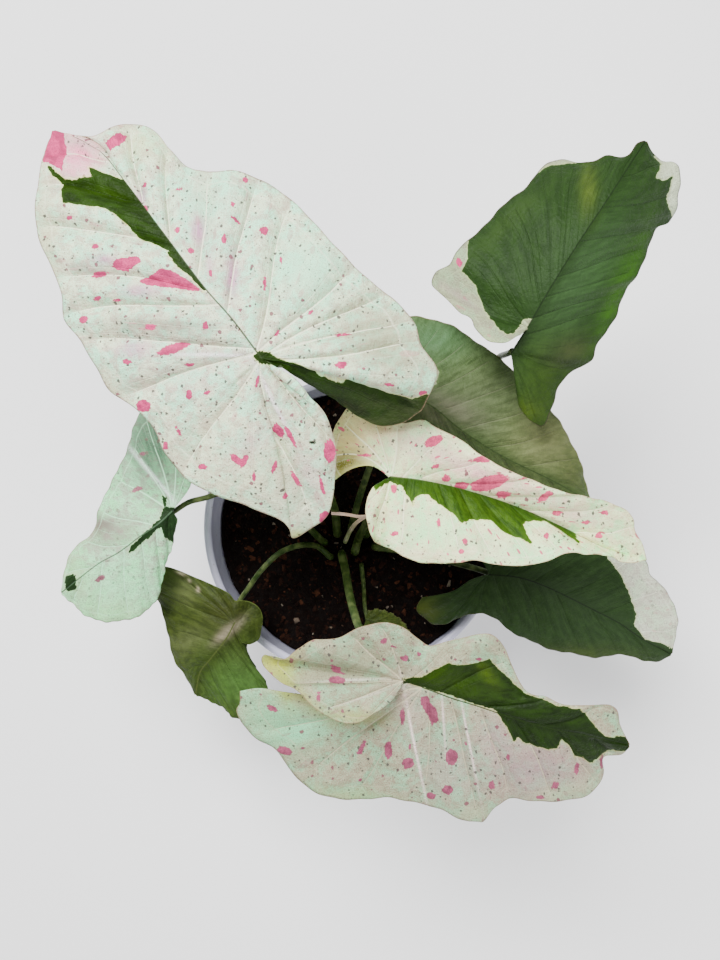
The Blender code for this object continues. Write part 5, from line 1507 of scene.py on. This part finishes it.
def soil_material(name, looks):
    """Damp bark and peat. Each chip takes its colour from its own stored tone."""
    s = Shader(name)
    at = s.node("ShaderNodeTexCoord").outputs["Object"]
    tone, grain = s.attribute("tone"), s.noise(at, 1400.0, 4.0)
    cloud = s.noise(at, 350.0, 3.0)
    colour_now = s.mix(s.ramp(tone, 0.3, 0.6), tuple(looks.peat), tuple(looks.bark))
    colour_now = s.mix(s.ramp(tone, 0.78, 0.92), colour_now, tuple(looks.tan))
    colour_now = s.mix(s.ramp(tone, 0.975, 0.985), colour_now, tuple(looks.pale))
    colour_now = s.mix(s.ramp(cloud, 0.4, 0.7, 0.0, 0.6), colour_now, tuple(looks.peat))
    colour_now = s.mix(s.ramp(grain, 0.55, 0.75, 0.0, 0.5), colour_now, tuple(looks.bark))
    s.paint(colour_now, s.ramp(cloud, 0.3, 0.7, 0.8, 1.0), SOIL_GLOSS)
    s.bump(s.math("ADD", grain, cloud), 0.0004)
    return s.material


def arc(middle, across, up, start, end, steps):
    """Points of a profile round a part of an oval."""
    return [(middle[0] + across * math.cos(turn), middle[1] + up * math.sin(turn))
            for turn in np.linspace(start, end, steps)]


def pot_mesh(name, looks):
    """The pot turned from a profile with a rounded lip and band and a plain flat foot."""
    lip = looks.lip_round / MM
    top, band = POT_HEIGHT, POT_HEIGHT - BAND_HEIGHT
    profile = [(0, FLOOR_THICKNESS), (INNER_FOOT_RADIUS - INNER_CHAMFER, FLOOR_THICKNESS),
               (INNER_FOOT_RADIUS, FLOOR_THICKNESS + INNER_CHAMFER),
               (INNER_RIM_RADIUS - THROAT_STEP[0], top - THROAT_STEP[1]),
               (INNER_RIM_RADIUS, top - 2 * lip)]
    lip_width = (RIM_RADIUS - INNER_RIM_RADIUS) / 2
    profile += arc((INNER_RIM_RADIUS + lip_width, top - lip), lip_width, lip,
                   math.pi, 0, LIP_STEPS)
    profile += arc((RIM_RADIUS - lip, band + lip), lip, lip, 0, -math.pi / 2, LIP_STEPS // 2)
    profile += [(BODY_TOP_RADIUS + BAND_STEP[0], band), (BODY_TOP_RADIUS, band - BAND_STEP[1])]
    profile += arc((FOOT_RADIUS - lip, lip), lip, lip, 0, -math.pi / 2, LIP_STEPS // 2)
    profile.append((0, 0))
    data = bpy.data.meshes.new(name)
    verts = [(x * MM, 0, z * MM) for x, z in profile]
    data.from_pydata(verts, [(k, k + 1) for k in range(len(verts) - 1)], [])
    turned = new_object("pot_profile", data)
    turn = turned.modifiers.new("Turn", "SCREW")
    turn.steps = turn.render_steps = POT_TURN_STEPS
    turn.use_merge_vertices = True
    turn.merge_threshold = SEAM * MM
    mesh = grown_mesh(name, turned)
    mesh.shade_smooth()
    mesh.set_sharp_from_angle(angle=SHARP_ANGLE)
    return mesh


def pot_material(name, looks):
    """Pale moulded plastic with faint fine relief, dust and splashes of soil."""
    s = Shader(name)
    at = s.node("ShaderNodeTexCoord").outputs["Object"]
    cloud, grit = s.noise(at, 22.0, 3.0), s.noise(at, 420.0, 3.0)
    tone = tuple(looks.plastic)
    mixed = s.mix(s.ramp(cloud, 0.35, 0.7, 0.0, 0.5), tone, tuple(0.88 * c for c in tone))
    mixed = s.mix(s.ramp(grit, 0.68, 0.76, 0.0, 0.4), mixed, POT_DUST)
    s.paint(mixed, s.ramp(cloud, 0.3, 0.7, 0.32, 0.46))
    s.bump(s.noise(at, 900.0, 2.0), 0.00006, 0.6)
    return s.material


def add_floor(looks):
    """A plain floor under the pot."""
    reach = FLOOR_REACH
    data = bpy.data.meshes.new("floor")
    data.from_pydata([(-reach, -reach, 0), (reach, -reach, 0), (reach, reach, 0),
                      (-reach, reach, 0)], [], [(0, 1, 2, 3)])
    shader = Shader("floor")
    shader.paint(tuple(looks.floor), FLOOR_ROUGHNESS)
    data.materials.append(shader.material)
    floor = new_object("floor", data)


def add_lamp(name, at, size, power):
    """A square light that faces the plant."""
    light = bpy.data.lights.new(name, "AREA")
    light.size = size
    light.energy = power
    lamp = new_object(name, light)
    lamp.location = at
    towards = Vector(LIT_POINT) - Vector(at)
    lamp.rotation_euler = towards.to_track_quat("-Z", "Y").to_euler()


def set_sky(looks):
    """Even light from all round."""
    world = bpy.data.worlds.new("surround")
    world.use_nodes = True
    sky = world.node_tree.nodes["Background"].inputs
    sky["Color"].default_value = (*SKY_COLOUR, 1.0)
    sky["Strength"].default_value = looks.sky
    bpy.context.scene.world = world


def add_camera():
    """The camera at the eye that the plant is drawn from, looking straight down."""
    lens = bpy.data.cameras.new("camera")
    lens.sensor_width = SENSOR
    lens.lens = SENSOR * (EYE[2] - POT_HEIGHT) / VIEW_HEIGHT
    lens.clip_start = CLIP_START
    camera = new_object("camera", lens)
    camera.location = [c * MM for c in EYE]
    bpy.context.scene.camera = camera


class SYNGONIUM_OT_pot(bpy.types.Operator):
    """Turn the plain round pot"""
    bl_idname = "syngonium.pot"
    bl_label = "Pot"

    def execute(self, context):
        looks = context.scene.syngonium_pot
        mesh = pot_mesh("pot_shell", looks)
        mesh.materials.append(pot_material("pot_plastic", looks))
        add_piece("pot_shell", mesh, "pot")
        return {"FINISHED"}


class SYNGONIUM_OT_soil(bpy.types.Operator):
    """Fill the pot with peat and strew bark chips over it"""
    bl_idname = "syngonium.soil"
    bl_label = "Soil"

    def execute(self, context):
        looks = context.scene.syngonium_soil
        material = soil_material("bark_soil", looks)
        bed = soil_disc("soil_bed", 0.0, True)
        bed.materials.append(material)
        add_piece("soil_bed", bed, "soil")
        shapes = chip_shapes(looks)
        chips = grow("soil_chips", soil_disc("chip_ground", CHIP_WALL_GAP, False), chip_tree(),
                     {"Chips": shapes, "Density": looks.chips, "Seed": looks.seed,
                      "Material": material})
        for chip in list(shapes.objects):
            bpy.data.objects.remove(chip)
        bpy.data.collections.remove(shapes)
        add_piece("soil_chips", chips, "soil")
        return {"FINISHED"}


class SYNGONIUM_OT_stalks(bpy.types.Operator):
    """Grow a stalk for each blade, and the rolled young leaf"""
    bl_idname = "syngonium.stalks"
    bl_label = "Stalks"

    def execute(self, context):
        looks = context.scene.syngonium_stalks
        tree = stem_tree()
        for name, petiole in PETIOLES.items():
            foot, top = STALK_COLOURS.get(name, STALK_COLOURS["default"])
            path = path_curve(f"path_{name}", petiole_path(petiole, BLADES[name].midrib))
            mesh = grow(f"stalk_{name}", path, tree, {
                "Foot radius": petiole.foot_radius * MM, "Top radius": petiole.top_radius * MM,
                "Step": looks.step, "Sides": looks.sides, "Roll": 0.0,
                "Material": stem_material(f"stalk_{name}", foot, top, STALK_FLECK)})
            add_piece(f"stalk_{name}", mesh, f"petiole_{name}")
        young = grow("young_leaf", path_curve("path_young", out_of_soil(FURLED_ROUTE)), tree, {
            "Foot radius": FURLED_RADII[0] * MM, "Top radius": FURLED_RADII[1] * MM,
            "Step": looks.step, "Sides": looks.sides, "Roll": looks.roll,
            "Material": stem_material("young_leaf", tuple(looks.sheath), tuple(looks.young),
                                      YOUNG_FLECK)})
        add_piece("young_leaf", young, "furled_leaf")
        return {"FINISHED"}


class SYNGONIUM_OT_blades(bpy.types.Operator):
    """Model the nine leaf blades with their veins and markings"""
    bl_idname = "syngonium.blades"
    bl_label = "Blades"

    def execute(self, context):
        looks = context.scene.syngonium_blades
        for name, blade in BLADES.items():
            finish = FINISHES[name]
            mesh = build_blade(f"leaf_{name}", blade, finish, looks)
            mesh.materials.append(leaf_material(name, finish, looks))
            add_piece(f"leaf_{name}", mesh, f"blade_{name}")
        return {"FINISHED"}


class SYNGONIUM_OT_stage(bpy.types.Operator):
    """Set the pale floor, the soft lights and the camera straight above"""
    bl_idname = "syngonium.stage"
    bl_label = "Stage"

    def execute(self, context):
        looks = context.scene.syngonium_stage
        add_floor(looks)
        add_lamp("key", KEY_AT, KEY_SIZE, looks.key)
        add_lamp("fill", FILL_AT, FILL_SIZE, looks.fill)
        set_sky(looks)
        add_camera()
        return {"FINISHED"}


OPERATORS = (SYNGONIUM_OT_stage, SYNGONIUM_OT_pot, SYNGONIUM_OT_soil, SYNGONIUM_OT_stalks,
             SYNGONIUM_OT_blades)
LOOKS = {"syngonium_pot": SyngoniumPotLooks, "syngonium_soil": SyngoniumSoilLooks,
         "syngonium_stalks": SyngoniumStalkLooks, "syngonium_blades": SyngoniumBladeLooks,
         "syngonium_stage": SyngoniumStageLooks}


class SYNGONIUM_PT_panel(bpy.types.Panel):
    """The plant's pieces with their sizes and colours"""
    bl_idname = "SYNGONIUM_PT_panel"
    bl_label = "Potted syngonium"
    bl_space_type = "VIEW_3D"
    bl_region_type = "UI"
    bl_category = "Syngonium"

    def draw(self, context):
        for operator in OPERATORS:
            self.layout.operator(operator.bl_idname)
        for attribute, group in LOOKS.items():
            box = self.layout.box()
            for name in group.__annotations__:
                box.prop(getattr(context.scene, attribute), name)


CLASSES = (*LOOKS.values(), *OPERATORS, SYNGONIUM_PT_panel)


def register():
    """Adds the classes and the plant's settings to the scene."""
    for made in CLASSES:
        bpy.utils.register_class(made)
    for attribute, group in LOOKS.items():
        setattr(bpy.types.Scene, attribute, PointerProperty(type=group))


def unregister():
    """Takes the settings and the classes away again."""
    for attribute in LOOKS:
        delattr(bpy.types.Scene, attribute)
    for made in reversed(CLASSES):
        bpy.utils.unregister_class(made)


def main():
    """Builds the plant and its stage."""
    register()
    bpy.ops.syngonium.stage()
    bpy.ops.syngonium.pot()
    bpy.ops.syngonium.soil()
    bpy.ops.syngonium.stalks()
    bpy.ops.syngonium.blades()
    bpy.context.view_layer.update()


if __name__ == "__main__":
    main()
